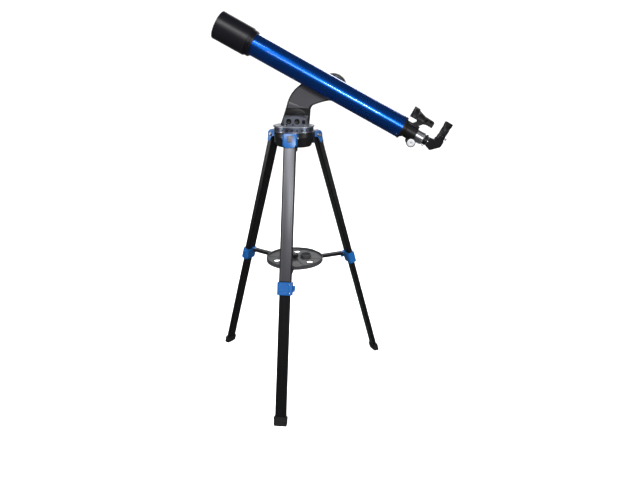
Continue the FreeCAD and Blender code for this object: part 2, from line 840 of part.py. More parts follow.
def azimuth_drive():
    """Fixed gear and spindle that the turntable turns on."""
    piece = Piece("azimuth_gear", Frame(z=head_top - 9))
    r = d.shaft_radius
    base = turntable_base - head_top + 9
    top = base + d.turntable_height - d.turntable_plate - 1
    piece.revolve([
        (d.bolt_radius + 0.5, ZERO), (r + 8, ZERO), (r + 8, 4.0), (d.azimuth_gear_radius, 4.0),
        (d.azimuth_gear_radius, 10.0), (r, 10.0), (r, top), (d.bolt_radius + 0.5, top),
    ])
    tooth = piece.pocket(("circle", d.azimuth_gear_radius + 0.6, ZERO, 1.1), 4.0, 6.0)
    piece.repeat(tooth, 60)


def turntable():
    """Turning plate with its graduated skirt."""
    piece = Piece("turntable", Frame(z=turntable_base))
    wall = 4.0
    ring = d.head_top_radius
    bore = d.shaft_radius + d.slide_gap
    h = d.turntable_height
    under = h - d.turntable_plate
    piece.revolve([
        (ZERO, under + 1), (bore, under + 1), (bore, under - 8), (bore + 7, under - 8), (bore + 7, under),
        (ring - wall, under), (ring - wall, ZERO),
        (ring, ZERO), (ring, d.ring_height), (ring - 1.5, d.ring_height), (ring - 1.5, under),
        (d.turntable_radius, under), (d.turntable_radius, h - 2), (d.turntable_radius - 2, h),
        (ZERO, h),
    ])


def arm_outline():
    """Side outline of the arm in the FACE frame: foot below, neck swept back, round head at the right."""
    x, z, foot = d.altitude_x, altitude_level, turntable_top
    r = d.arm_head_radius
    under = d.head_lower_angle
    over = d.head_upper_angle
    return [
        (-d.arm_foot_left, foot),
        (d.arm_foot_right, foot),
        (d.throat_x, foot + d.throat_height, -d.throat_radius),
        (d.throat_x + d.throat_radius * 0.62, foot + d.throat_height + d.throat_radius * 0.84,
         -d.under_radius),
        (x + r * cosine(under), z + r * sine(under), r),
        (x + r, z, r),
        (x + r * cosine(over), z + r * sine(over), d.nape_radius),
        (d.shoulder_x, foot + d.shoulder_height, d.back_radius),
        (-d.waist_x, foot + d.waist_height),
    ]


def arm():
    """Two shells joined at the split plane, with bearings for the altitude shaft."""
    x, z, foot = d.altitude_x, altitude_level, turntable_top
    outline = arm_outline()
    bore = d.altitude_shaft_radius + d.slide_gap
    front = Piece("arm_front_shell", FACE)
    front.pad(outline, -d.arm_split, d.arm_split + d.arm_front)
    depth = d.arm_split + d.arm_front - d.arm_wall
    cavity = d.arm_head_radius - 8
    front.pocket(("circle", x, z, cavity), -d.arm_split, depth)
    column = [
        (-d.arm_foot_left + 10, foot), (d.arm_foot_right - 12, foot),
        (d.arm_foot_right - 12, foot + 60), (-8.0, foot + 100),
    ]
    front.pocket(column, -d.arm_split, depth)
    front.pad(("circle", x, z, bore + 6), d.arm_front - d.arm_wall - 8, 8.0)
    front.pocket(("circle", x, z, bore), -d.arm_split, 90.0)
    rear = Piece("arm_rear_shell", FACE)
    rear.pad(outline, -d.arm_back, d.arm_back - d.arm_split)
    rear_depth = d.arm_back - d.arm_split - d.arm_wall
    rear.pocket(("circle", x, z, cavity), -d.arm_back + d.arm_wall, rear_depth)
    rear.pocket(column, -d.arm_back + d.arm_wall, rear_depth)
    rear.pad(("circle", x, z, bore + 6), -d.arm_back + d.arm_wall, 8.0)
    rear.pocket(("circle", x, z, bore), -d.arm_back + 1, 90.0)
    motor = Piece("arm_motor", FACE, keep=False)
    motor.pad(slab(40.0, 50.0, Size.of(4.0), foot + 34), -d.arm_back + d.arm_wall, rear_depth + 10)
    base = Frame(x=-d.azimuth_gear_radius - 18, z=turntable_top - d.turntable_plate)
    inner = Piece("base_motor", base, keep=False)
    inner.pad(slab(20.0, 40.0), -16.0, 16.0)
    bundle("drive_motors", [motor.body, inner.body])


def control_panel():
    """Box at the arm's foot that holds the sockets and the switch."""
    foot = turntable_top
    piece = Piece("control_panel", FACE)
    left, right = -d.panel_left, d.panel_right
    top = foot + d.panel_height
    arch = [(left, foot), (right, foot), (right, top - 9, 130.0), (left, top - 9)]
    piece.pad(arch, d.arm_front, d.panel_front - d.arm_front)
    piece.soften(4.0, upright)
    inside = rectangle(left + d.panel_wall, foot + d.panel_wall, right - d.panel_wall, top - 9 - d.panel_wall)
    piece.pocket(inside, d.arm_front, d.panel_front - d.arm_front - d.panel_wall)
    spots = [("circle", socket_x(k), foot + 22, d.socket_radius) for k in range(2)]
    piece.pocket(spots, d.panel_front - d.panel_wall - 1, d.panel_wall + 1)
    middle = switch_place()
    hole = slab(d.switch_width + 0.6, d.switch_height + 0.6, middle[0], middle[1])
    piece.pocket(hole, d.panel_front - d.panel_wall - 1, d.panel_wall + 1)
    switch = Piece("power_switch", FACE)
    switch.pad(slab(d.switch_width, d.switch_height, middle[0], middle[1]), d.panel_front - 8, 9.5)


def socket_x(number):
    return Size.of(-12.0 + 37.0 * number)


def switch_place():
    return d.panel_right - 11, turntable_top + 20


# ------------------------------------------------------------------ dovetail, saddle and altitude shaft


def saddle_parts():
    bar = Piece("bar_body", TUBE, keep=False)
    half = d.dovetail_width / 2
    bottom = -dovetail_back
    top = -(d.tube_radius - 4)
    section = [(-half, bottom), (half, bottom), (half - 4, top), (-half + 4, top)]
    bar.pad(section, -(d.dovetail_length / 2), d.dovetail_length)
    start = TUBE.shifted(ZERO, ZERO, -(d.dovetail_length / 2) - 1)
    relief = rod("bar_relief", d.tube_radius, d.dovetail_length + 2, start)
    carve("dovetail_bar", bar.body, [relief])
    flat = TUBE.shifted(ZERO, ZERO, ZERO, SIDEWAYS)
    saddle = Piece("saddle", flat)
    reach = half + d.jaw_thick
    start, stop = d.saddle_start, d.saddle_start + d.saddle_length
    saddle.pad(rectangle(start, -reach, stop, reach), -saddle_back, saddle_back - dovetail_back)
    saddle.soften(8.0, upright)
    saddle.pad(rectangle(start + 6, half, stop - 6, reach), -dovetail_back, d.jaw_height)
    lower = rectangle(d.jaw_start, -d.jaw_drop, d.jaw_start + d.jaw_length, -half)
    saddle.pad(lower, -saddle_back + 2, saddle_back - 2 - dovetail_back + d.jaw_height)
    for number, name in enumerate(("front", "rear")):
        along = d.clamp_knob_offset + d.clamp_knob_pitch * number
        upward = FreeCAD.Rotation(FreeCAD.Vector(1, 0, 0), -90)
        base = flat.shifted(along, reach, -dovetail_back + d.jaw_height / 2, upward)
        knob = Piece("saddle_knob_" + name, base)
        stem, r = d.clamp_knob_stem, d.clamp_knob_radius
        knob.revolve([
            (ZERO, 0.3), (4.0, 0.3), (4.0, stem), (r - 2, stem), (r, stem + 2),
            (r, stem + d.clamp_knob_height - 3),
            (r - 3, stem + d.clamp_knob_height), (ZERO, stem + d.clamp_knob_height),
        ])
        flute = knob.pocket(("circle", r + 2.4, ZERO, 4.0), stem - 1, d.clamp_knob_height + 2)
        knob.repeat(flute, 8)
    # altitude shaft and its gear, along world Y
    axle = flat.shifted(ZERO, ZERO, -saddle_back, FreeCAD.Rotation(FreeCAD.Vector(1, 0, 0), 180))
    gear = Piece("altitude_gear", axle)
    length = tube_plane - saddle_back + d.arm_back - 2
    middle = tube_plane - saddle_back + d.arm_split
    r = d.altitude_shaft_radius
    gear.revolve([
        (ZERO, ZERO), (r, ZERO), (r, middle), (d.gear_radius, middle), (d.gear_radius, middle + d.gear_width),
        (r, middle + d.gear_width), (r, length), (ZERO, length),
    ])
    tooth = gear.pocket(("circle", d.gear_radius + 0.6, ZERO, 1.1), middle, d.gear_width)
    gear.repeat(tooth, 60)


# ------------------------------------------------------------------ optical tube


def tube_parts():
    inner = d.tube_radius - d.tube_wall
    tube = Piece("main_tube", TUBE)
    end = d.tube_rear - 4
    tube.revolve([(inner, -d.tube_front), (d.tube_radius, -d.tube_front), (d.tube_radius, end), (inner, end)])
    shield = Piece("dew_shield", TUBE)
    outer, bore = shield_radius, shield_radius - d.shield_wall
    front = -(d.shield_rear + d.shield_length)
    shield.revolve([
        (cell_seat + 0.05, -d.shield_rear), (outer - 2, -d.shield_rear), (outer, -d.shield_rear - 2),
        (outer, front + 1.2), (outer - 1.2, front), (bore, front), (bore, -d.shield_rear - 12),
        (cell_seat + 0.05, -d.shield_rear - 12),
    ])
    cell = Piece("objective_cell", TUBE)
    seat = cell_seat
    glass = d.lens_radius + d.lens_gap
    shoulder = -(d.tube_front + 3)
    cell.revolve([
        (d.tube_radius, -d.cell_rear), (cell_radius - 2, -d.cell_rear), (cell_radius, -d.cell_rear - 2),
        (cell_radius, -d.cell_rear - 7), (cell_radius - 2, -d.cell_rear - 8),
        (cell_radius - 2, -d.cell_rear - 11),
        (cell_radius, -d.cell_rear - 12), (cell_radius, -d.shield_rear), (seat, -d.shield_rear),
        (seat, -d.cell_front - 4), (glass, -d.cell_front - 4), (glass, shoulder), (glass - 2.5, shoulder),
        (glass - 2.5, -d.tube_front), (d.tube_radius, -d.tube_front),
    ])
    rim = d.lens_radius
    sag = d.lens_curve - root(d.lens_curve * d.lens_curve - rim * rim)
    flint = Piece("flint_lens", TUBE, keep=False)
    flint_front = shoulder - d.flint_thickness
    flint.revolve([(ZERO, shoulder), (rim, shoulder), (rim, flint_front), (ZERO, flint_front)])
    hollow = ball("flint_hollow", TUBE.shifted(ZERO, ZERO, flint_front + sag - d.lens_curve), d.lens_curve)
    crown = Piece("crown_lens", TUBE, keep=False)
    back = flint_front - 0.3
    crown_front = back - d.crown_thickness
    crown.revolve([(ZERO, back), (rim, back), (rim, crown_front), (ZERO, crown_front)])
    bulge = ball("crown_bulge", TUBE.shifted(ZERO, ZERO, crown_front + d.lens_curve), d.lens_curve)
    flint_glass = carve("flint_glass", flint.body, [hollow], keep=False)
    bundle("objective_lenses", [flint_glass, common("crown_glass", [crown.body, bulge])])
    ring = Piece("lens_retaining_ring", TUBE)
    ring_front = -d.cell_front - 4
    seat_plane = crown_front + sag
    ring.revolve([
        (rim - 3, ring_front), (glass, ring_front), (glass, seat_plane), (rim, seat_plane),
        (rim - 3, seat_plane - 0.5),
    ])
    rear = Piece("rear_cell", TUBE)
    band = band_radius
    end = d.tube_rear
    rear.revolve([
        (d.housing_radius, end - 12), (inner, end - 12), (inner, end - 4), (d.tube_radius + 0.02, end - 4),
        (d.tube_radius + 0.02, end - d.rear_band), (band, end - d.rear_band), (band, end - 2),
        (band - 2, end), (d.housing_radius, end),
    ])
    screws = []
    for number, angle in enumerate((10.0, 130.0, 250.0)):
        turn = FreeCAD.Rotation(UP, angle).multiply(FreeCAD.Rotation(FreeCAD.Vector(0, 1, 0), 90))
        place = TUBE.shifted(d.tube_radius * cosine(angle), d.tube_radius * sine(angle), end - 16, turn)
        screws.append(rod("rear_screw_" + str(number), 3.2, 2.0, place))
    bundle("rear_cell_screws", screws)


def focuser():
    end = d.tube_rear
    hub = d.housing_radius
    bore = d.drawtube_radius + d.slide_gap
    housing = Piece("housing_body", TUBE, keep=False)
    housing.revolve([
        (bore, end - 12), (hub, end - 12), (hub, end), (hub + 6, end), (hub + 6, end + 6), (hub, end + 12),
        (hub, end + d.housing_length - 2), (hub - 2, end + d.housing_length), (bore, end + d.housing_length),
    ])
    pitch = pinion_pitch()
    axis_drop = pinion_drop()
    foot = axis_drop + d.cover_depth
    slot_half = d.rack_width / 2 + 0.3
    boss = Piece("pinion_boss", TUBE, keep=False)
    boss.pad(rectangle(-foot, -14.0, -(bore + 2), 14.0), end + d.pinion_along - 15, 24.0)
    whole = weld("focuser_whole", [housing.body, boss.body], keep=False)
    slot_frame = TUBE.shifted(-(d.drawtube_radius + d.rack_height + 0.4), -slot_half, end - 13)
    slot = block("rack_slot", (12.0, 2 * slot_half, d.housing_length + 24), slot_frame)
    spin = focus_frame()
    shaft_hole = rod("shaft_hole", d.focus_shaft_radius + d.slide_gap, 80.0, spin.shifted(ZERO, ZERO, -40.0))
    well_start = spin.shifted(ZERO, ZERO, -slot_half - 2)
    well = rod("pinion_well", pitch + d.gear_module + 0.6, 2 * slot_half + 4, well_start)
    clear = rod("bore_clear", bore, d.housing_length + 20, TUBE.shifted(ZERO, ZERO, end - 14))
    carve("focuser_housing", whole, [slot, shaft_hole, well, clear])

    pipe = Piece("pipe_body", TUBE, keep=False)
    r = d.drawtube_radius
    inside = r - d.drawtube_wall
    out = end + d.drawtube_out
    start = end - d.drawtube_in
    pipe.revolve([
        (inside, start), (r, start), (r, out - 4), (r + 1.6, out - 4), (r + 1.6, out),
        (d.barrel_radius + 1, out),
        (d.barrel_radius + 1, out - 3), (inside, out - 3),
    ])
    rack = rack_piece(start + 2, end + d.drawtube_out - 6)
    weld("drawtube", [pipe.body, rack])

    pinion = Piece("focus_pinion", spin)
    shaft = d.focus_shaft_radius
    hub_end = hub + 8
    reach = hub_end + 10
    pinion.revolve([(ZERO, -reach), (shaft, -reach), (shaft, reach), (ZERO, reach)])
    tip = pitch + 0.8 * d.gear_module
    pinion.pad(("circle", ZERO, ZERO, tip), -(d.rack_width / 2), d.rack_width)
    root = pitch - 1.2 * d.gear_module
    gap_root, gap_tip = 0.95 * d.gear_module, 1.45 * d.gear_module
    gap = pinion.pocket([(root, -gap_root), (tip + 0.5, -gap_tip), (tip + 0.5, gap_tip), (root, gap_root)],
                        -(d.rack_width / 2), d.rack_width)
    pinion.repeat(gap, int(DIMENSIONS["pinion_teeth"]))

    knobs = []
    for sign, name in ((1, "near"), (-1, "far")):
        half_turn = FreeCAD.Rotation(FreeCAD.Vector(1, 0, 0), 180)
        place = spin if sign > 0 else spin.shifted(ZERO, ZERO, ZERO, half_turn)
        knob = Piece("focus_knob_" + name, place, keep=False)
        first = hub + d.focus_knob_gap
        last = first + d.focus_knob_width
        big = d.focus_knob_radius
        knob.revolve([
            (shaft, first), (big * 0.55, first), (big * 0.6, first + 3), (big - 1.5, first + 3),
            (big, first + 4.5),
            (big, last - 1.5), (big - 1.5, last), (shaft, last),
        ])
        flute = knob.pocket(("circle", big + 0.6, ZERO, 1.5), first + 2, d.focus_knob_width)
        knob.repeat(flute, 30)
        knobs.append(knob.body)
    bundle("focus_knobs", knobs)


def pinion_pitch():
    """Pitch radius of the focus pinion."""
    return d.gear_module * d.pinion_teeth / 2


def pinion_drop():
    """Distance of the pinion's axis below the tube's axis."""
    return d.drawtube_radius + d.rack_height - 0.8 * d.gear_module + pinion_pitch()


def focus_frame():
    """On the pinion's axis: local Z to the viewer, local X towards the drawtube."""
    along = d.tube_rear + d.pinion_along
    return TUBE.shifted(-pinion_drop(), ZERO, along, turned((1, 0, 0), (0, 0, -1)))


def rack_piece(start, stop):
    """Toothed strip under the drawtube; a tooth gap faces the pinion's lowest tooth."""
    pitch = d.gear_module * math.pi
    along = d.tube_rear + d.pinion_along
    low = -(d.drawtube_radius + d.rack_height)
    flat = TUBE.shifted(ZERO, d.rack_width / 2, ZERO, TURN_X)
    strip = Piece("rack_strip", flat, keep=False)
    strip.pad(rectangle(low, start, -(d.drawtube_radius - 1.5), stop), ZERO, d.rack_width)
    before = strip.body.Shape.Volume
    root = low + 2.2 * d.gear_module
    first = along - 0.5 * pitch
    cut = strip.pocket([(low - 0.5, first - 1.42 * d.gear_module), (root, first - 0.62 * d.gear_module),
                        (root, first + 0.62 * d.gear_module), (low - 0.5, first + 1.42 * d.gear_module)],
                       ZERO, d.rack_width)
    steps_back = int((first.value - start.value - 2) / pitch.value)
    steps_on = int((stop.value - first.value - 2) / pitch.value)
    for name, steps, flip in (("back", steps_back, True), ("on", steps_on, False)):
        row = strip.body.newObject("PartDesign::LinearPattern", "rack_row_" + name)
        row.Originals = [cut]
        row.Direction = (cut.Profile[0], ["V_Axis"])
        row.Reversed = flip
        row.setExpression("Length", (pitch * float(steps)).text)
        row.Occurrences = steps + 1
        strip.body.Tip = row
        doc.recompute()
    if strip.body.Shape.Volume >= before:
        raise RuntimeError("the rack has no teeth")
    return strip.body


def thumbscrew(name, frame):
    """Knurled screw whose stem starts at the frame's origin and points along its Z."""
    piece = Piece(name, frame)
    stem = Size.of(4.0)
    top = stem + d.thumb_length
    piece.revolve([
        (ZERO, ZERO), (d.screw_radius, ZERO), (d.screw_radius, stem), (d.thumb_radius - 0.6, stem),
        (d.thumb_radius, stem + 0.6), (d.thumb_radius, top - 0.6), (d.thumb_radius - 0.6, top), (ZERO, top),
    ])
    flute = piece.pocket(("circle", d.thumb_radius + 0.3, ZERO, 0.7), stem - 0.5, d.thumb_length + 1)
    piece.repeat(flute, 18)


def eyepiece_end():
    start = d.tube_rear + d.drawtube_out
    bore = d.barrel_radius + d.barrel_gap
    last = start + d.adapter_length
    body = Piece("adapter_body", TUBE, keep=False)
    body.revolve([
        (bore, start), (d.adapter_radius + 4, start), (d.adapter_radius + 4, start + 3),
        (d.adapter_radius, start + 5), (d.adapter_radius, last - 1), (d.adapter_radius - 1, last),
        (bore, last),
    ])
    tools = []
    for name, angle, along in (("upper", 25.0, 11.5), ("lower", 160.0, 12.0)):
        turn = FreeCAD.Rotation(UP, angle).multiply(FreeCAD.Rotation(FreeCAD.Vector(0, 1, 0), 90))
        inner = TUBE.shifted(bore * cosine(angle), bore * sine(angle), start + along, turn)
        tools.append(rod("screw_hole_" + name, d.screw_radius + 0.05, 12.0, inner.shifted(ZERO, ZERO, -1.0)))
        thumbscrew("adapter_thumbscrew_" + name, inner.shifted(ZERO, ZERO, 1.0))
    carve("eyepiece_adapter", body.body, tools)

    turn_axis = d.tube_rear + d.diagonal_along
    half = d.diagonal_half
    nose = Piece("diagonal_nosepiece", TUBE)
    nose_end = turn_axis - d.diagonal_reach
    nose_bore = d.barrel_radius - d.barrel_wall
    nose.revolve([
        (nose_bore, start + 2), (d.barrel_radius, start + 2), (d.barrel_radius, nose_end + 3),
        (nose_bore, nose_end + 3),
    ])
    # diagonal block: local X along the tube, local Y across it upward, local Z to the viewer
    flat = TUBE.shifted(ZERO, ZERO, turn_axis, SIDEWAYS)
    shell = Piece("diagonal_shell", flat, keep=False)
    shell.pad([
        (-d.diagonal_reach, -half), (half - 35, -half - 9), (half - 4, 2.0), (half, 8.0),
        (half, d.diagonal_top),
        (-half, d.diagonal_top), (-half, half + 3), (-d.diagonal_reach, half),
    ], -(half - 1), 2 * (half - 1))
    shell.soften(3.0, upright)
    upward = FreeCAD.Rotation(FreeCAD.Vector(0, 1, 0), 90)
    collar_frame = TUBE.shifted(d.diagonal_top - 1, ZERO, turn_axis, upward)
    collar = rod("diagonal_collar", d.collar_radius, d.collar_top - d.diagonal_top + 1, collar_frame)
    whole = weld("diagonal_whole", [shell.body, collar], keep=False)
    way_in = rod("diagonal_way_in", d.barrel_radius, d.diagonal_reach + 2,
                 TUBE.shifted(ZERO, ZERO, turn_axis - d.diagonal_reach - 2))
    way_out = rod("diagonal_way_out", bore, d.collar_top + 2, TUBE.shifted(ZERO, ZERO, turn_axis, upward))
    facing = TUBE.shifted(ZERO, ZERO, turn_axis, FreeCAD.Rotation(FreeCAD.Vector(0, 1, 0), 135))
    long, wide, thick = d.mirror_length, d.mirror_width, d.mirror_thickness
    recess = facing.shifted(-long / 2 - 0.2, -wide / 2 - 0.2, -thick - 1)
    pocket = block("mirror_recess", (long + 0.4, wide + 0.4, thick + 6), recess)
    carve("diagonal_body", whole, [way_in, way_out, pocket])
    mirror = Piece("diagonal_mirror", facing)
    mirror.pad(slab(long, wide), -thick - 1, thick)


def eyepiece():
    bore = d.barrel_radius
    turn_axis = d.tube_rear + d.diagonal_along
    frame = TUBE.shifted(ZERO, ZERO, turn_axis, FreeCAD.Rotation(FreeCAD.Vector(0, 1, 0), 90))
    top = d.collar_top
    barrel = Piece("eyepiece_barrel", frame)
    barrel_bore = bore - d.barrel_wall
    barrel.revolve([(barrel_bore, top - 26), (bore, top - 26), (bore, top + 0.3), (barrel_bore, top + 0.3)])
    body = Piece("eyepiece_body", frame)
    r, R = d.eyepiece_radius, d.eyepiece_top_radius
    end = top + d.eyepiece_length
    body.revolve([
        (10.0, top + 0.3), (r, top + 0.3), (r, end - 22), (R, end - 16), (R, end - 3), (R - 3, end),
        (11.0, end),
        (8.0, end - 6), (8.0, end - 10), (10.0, end - 10),
    ])
    lens = Piece("eyepiece_lens", frame)
    lens.revolve([(ZERO, end - 9), (8.0, end - 9), (8.0, end - 7), (ZERO, end - 6)])


# ------------------------------------------------------------------ finder


def finder():
    end = d.tube_rear
    flat = TUBE.shifted(ZERO, ZERO, end, SIDEWAYS)
    low = d.finder_bottom
    half = d.finder_width / 2
    stalk = Piece("finder_bracket", flat)
    sunk = d.housing_radius - 3
    side_view = [(18.0, sunk), (46.0, sunk), (66.0, low - 4), (78.0, low), (34.0, low), (36.0, low - 6)]
    stalk.pad(side_view, -8.0, 16.0)
    clear = rod("stalk_relief", d.housing_radius, 90.0, TUBE.shifted(ZERO, ZERO, end))
    SUBPARTS.remove(stalk.body)
    stalk.body.Label = "finder_stalk"
    carve("finder_bracket", stalk.body, [clear])
    body = Piece("finder_body", flat)
    tall = low + d.finder_front_height
    rear = low + d.finder_rear_height
    hood = d.finder_hood
    length = d.finder_length
    side_view = [
        (ZERO, low), (length, low), (length, rear - 6), (length - 5, rear), (hood + 34, rear + 2),
        (hood, tall - 6), (hood - 4, tall), (2.0, tall),
    ]
    body.pad(side_view, -half, d.finder_width)
    body.soften(3.0, upright)
    wall = d.finder_wall
    sight = rectangle(-1.0, low + 6, hood + 12, tall - wall)
    body.pocket(sight, -half + wall, d.finder_width - 2 * wall)
    glass = Piece("finder_window", flat)
    ceiling = tall - wall - 0.1
    pane = [(8.0, low + 6), (10.0, low + 6), (14.0, ceiling), (12.0, ceiling)]
    glass.pad(pane, -half + wall, d.finder_width - 2 * wall)
    dial_frame = flat.shifted(length - 26, low + 12, half + 0.3)
    dial = Piece("finder_dial", dial_frame)
    dial.revolve([(ZERO, ZERO), (8.0, ZERO), (8.0, 5.0), (7.0, 6.0), (ZERO, 6.0)])
    flute = dial.pocket(("circle", 8.6, ZERO, 1.2), 1.0, 6.0)
    dial.repeat(flute, 16)


def build():
    hinge_parts()
    for name, azimuth in LEG_TURNS.items():
        upper_leg(name, azimuth)
        leg_clamp(name, azimuth)
        clamp_lever(name, azimuth)
        lower_leg(name, azimuth)
        foot(name, azimuth)
        strut(name, azimuth)
    tray()
    tripod_head()
    azimuth_drive()
    turntable()
    arm()
    control_panel()
    saddle_parts()
    tube_parts()
    focuser()
    eyepiece_end()
    eyepiece()
    finder()


def check():
    doc.recompute()
    faults = []
    for thing in doc.Objects:
        if "Invalid" in thing.State or "Error" in thing.State:
            faults.append(thing.Label + " " + str(thing.State))
    for part in SUBPARTS:
        if part.Shape.isNull() or not part.Shape.isValid() or not part.Shape.Solids:
            faults.append(part.Label + " has no sound shape")
    if faults:
        raise RuntimeError("; ".join(faults))


def write():
    os.makedirs("parts", exist_ok=True)
    for part in SUBPARTS:
        part.Shape.exportStep("parts/" + part.Label + ".step")
        box = part.Shape.BoundBox
        print(part.Label, len(part.Shape.Solids), round(part.Shape.Volume / 1000, 2),
              [round(v) for v in (box.XMin, box.XMax, box.YMin, box.YMax, box.ZMin, box.ZMax)])


build()
check()
write()
print(len(SUBPARTS), "sub-parts")
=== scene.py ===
"""Refracting telescope on a single-arm mount and a folding three-legged stand: finishes and fine detail."""

import json
import logging
import math
from collections.abc import Callable, Sequence
from dataclasses import dataclass, field
from enum import Enum

import bmesh
import bpy
from mathutils import Matrix, Quaternion, Vector


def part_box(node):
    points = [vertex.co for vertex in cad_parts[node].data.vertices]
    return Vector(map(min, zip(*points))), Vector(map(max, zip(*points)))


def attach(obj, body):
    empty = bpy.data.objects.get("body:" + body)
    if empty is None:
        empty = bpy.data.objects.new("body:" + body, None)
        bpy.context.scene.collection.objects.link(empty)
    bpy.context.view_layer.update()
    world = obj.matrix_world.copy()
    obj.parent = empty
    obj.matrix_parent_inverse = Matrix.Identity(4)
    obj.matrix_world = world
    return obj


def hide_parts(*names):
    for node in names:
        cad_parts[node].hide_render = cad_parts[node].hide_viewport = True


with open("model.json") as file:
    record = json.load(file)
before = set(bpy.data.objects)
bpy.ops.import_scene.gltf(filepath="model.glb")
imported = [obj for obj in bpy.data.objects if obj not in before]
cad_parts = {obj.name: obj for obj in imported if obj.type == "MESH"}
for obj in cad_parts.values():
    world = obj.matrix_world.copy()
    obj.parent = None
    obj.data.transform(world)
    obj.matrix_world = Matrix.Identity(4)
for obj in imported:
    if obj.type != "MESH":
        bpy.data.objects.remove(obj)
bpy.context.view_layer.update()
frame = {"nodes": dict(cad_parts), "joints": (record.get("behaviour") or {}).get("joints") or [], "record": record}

LOG = logging.getLogger("telescope")
MM = 0.001
LEGS = {"front": -90.0, "left": 150.0, "right": 30.0}
Profile = Sequence[tuple[float, float]]
Test = Callable[[Vector, Vector], bool]
Link = Callable[[bpy.types.NodeSocket, bpy.types.NodeSocket], bpy.types.NodeLink]

# Local frames, each written in the frame that it stands in.
# UPRIGHT, on a leg: Y up the leg, Z outwards.
UPRIGHT = Matrix.Rotation(math.radians(-90), 4, "X")
# CHEEK, on a hinge fork: X outwards, Y down.
CHEEK = Matrix(((0, 0, 1, 0), (1, 0, 0, 0), (0, 1, 0, 0), (0, 0, 0, 1)))
# ALONG, on the tube: X along, Y up, Z to a side.
ALONG = Matrix(((0, 1, 0, 0), (0, 0, 1, 0), (1, 0, 0, 0), (0, 0, 0, 1)))
# SHOE, on the tube: X across, Y up, Z along.
SHOE = Matrix(((0, 1, 0, 0), (1, 0, 0, 0), (0, 0, 1, 0), (0, 0, 0, 1)))
WORLD = Matrix.Identity(4)


def joint(name: str) -> dict:
    """The frame's joint of that name."""
    return next(j for j in frame["joints"] if j["name"] == name)


def axes(origin: Vector, along: Vector, side: Vector) -> Matrix:
    """A place whose Z runs along one direction and whose X is the part of `side` square to it.

    Args:
        origin: The place's origin.
        along: Direction of its Z.
        side: Rough direction of its X.

    Returns:
        The 4 by 4 matrix of the place.
    """
    z = along.normalized()
    x = (side - z * side.dot(z)).normalized()
    y = z.cross(x)
    return Matrix.Translation(origin) @ Matrix((x, y, z)).transposed().to_4x4()


def mm(place: Matrix) -> Matrix:
    """A place given in millimetres, in metres.

    Args:
        place: The place, with its origin in millimetres.

    Returns:
        The same place, with its origin in metres.
    """
    moved = place.copy()
    moved.translation *= MM
    return moved


def shift(x: float = 0.0, y: float = 0.0, z: float = 0.0) -> Matrix:
    """A move by so much, in the units of what it is used on."""
    return Matrix.Translation((x, y, z))


def both_sides(place: Matrix) -> list[Matrix]:
    """The place, and its mirror image through its own XY plane."""
    return [place, place @ Matrix.Scale(-1, 4, (0, 0, 1))]


def around(count: int, radius: float = 0.0, height: float = 0.0, start: float = 0.0) -> list[Matrix]:
    """Places evenly spaced round Z, each with its X outwards.

    Args:
        count: How many.
        radius: Distance from the axis.
        height: Height along the axis.
        start: Angle of the first, in degrees.

    Returns:
        The places.
    """
    turns = [Matrix.Rotation(math.radians(start) + math.tau * k / count, 4, "Z") for k in range(count)]
    return [turn @ shift(radius, 0, height) for turn in turns]


# ------------------------------------------------------------------ finishes

FLAKES_PER_METRE = 1800.0
FLAKE_DULL, FLAKE_BRIGHT = 0.82, 1.6
PLAIN_FLAKES = 0.6  # share of the flakes that stay dull
PATCHES_PER_METRE = 14.0
BUMP_STRENGTH = 0.6
MIRROR_ROUGHNESS = 0.02


class Grain(Enum):
    """How a surface's fine pattern lies about its own axis: size across, across and along, in grain sizes."""

    EVEN = (1.0, 1.0, 1.0)
    BRUSHED = (1.0, 1.0, 90.0)
    TURNED = (4000.0, 4000.0, 1.0)


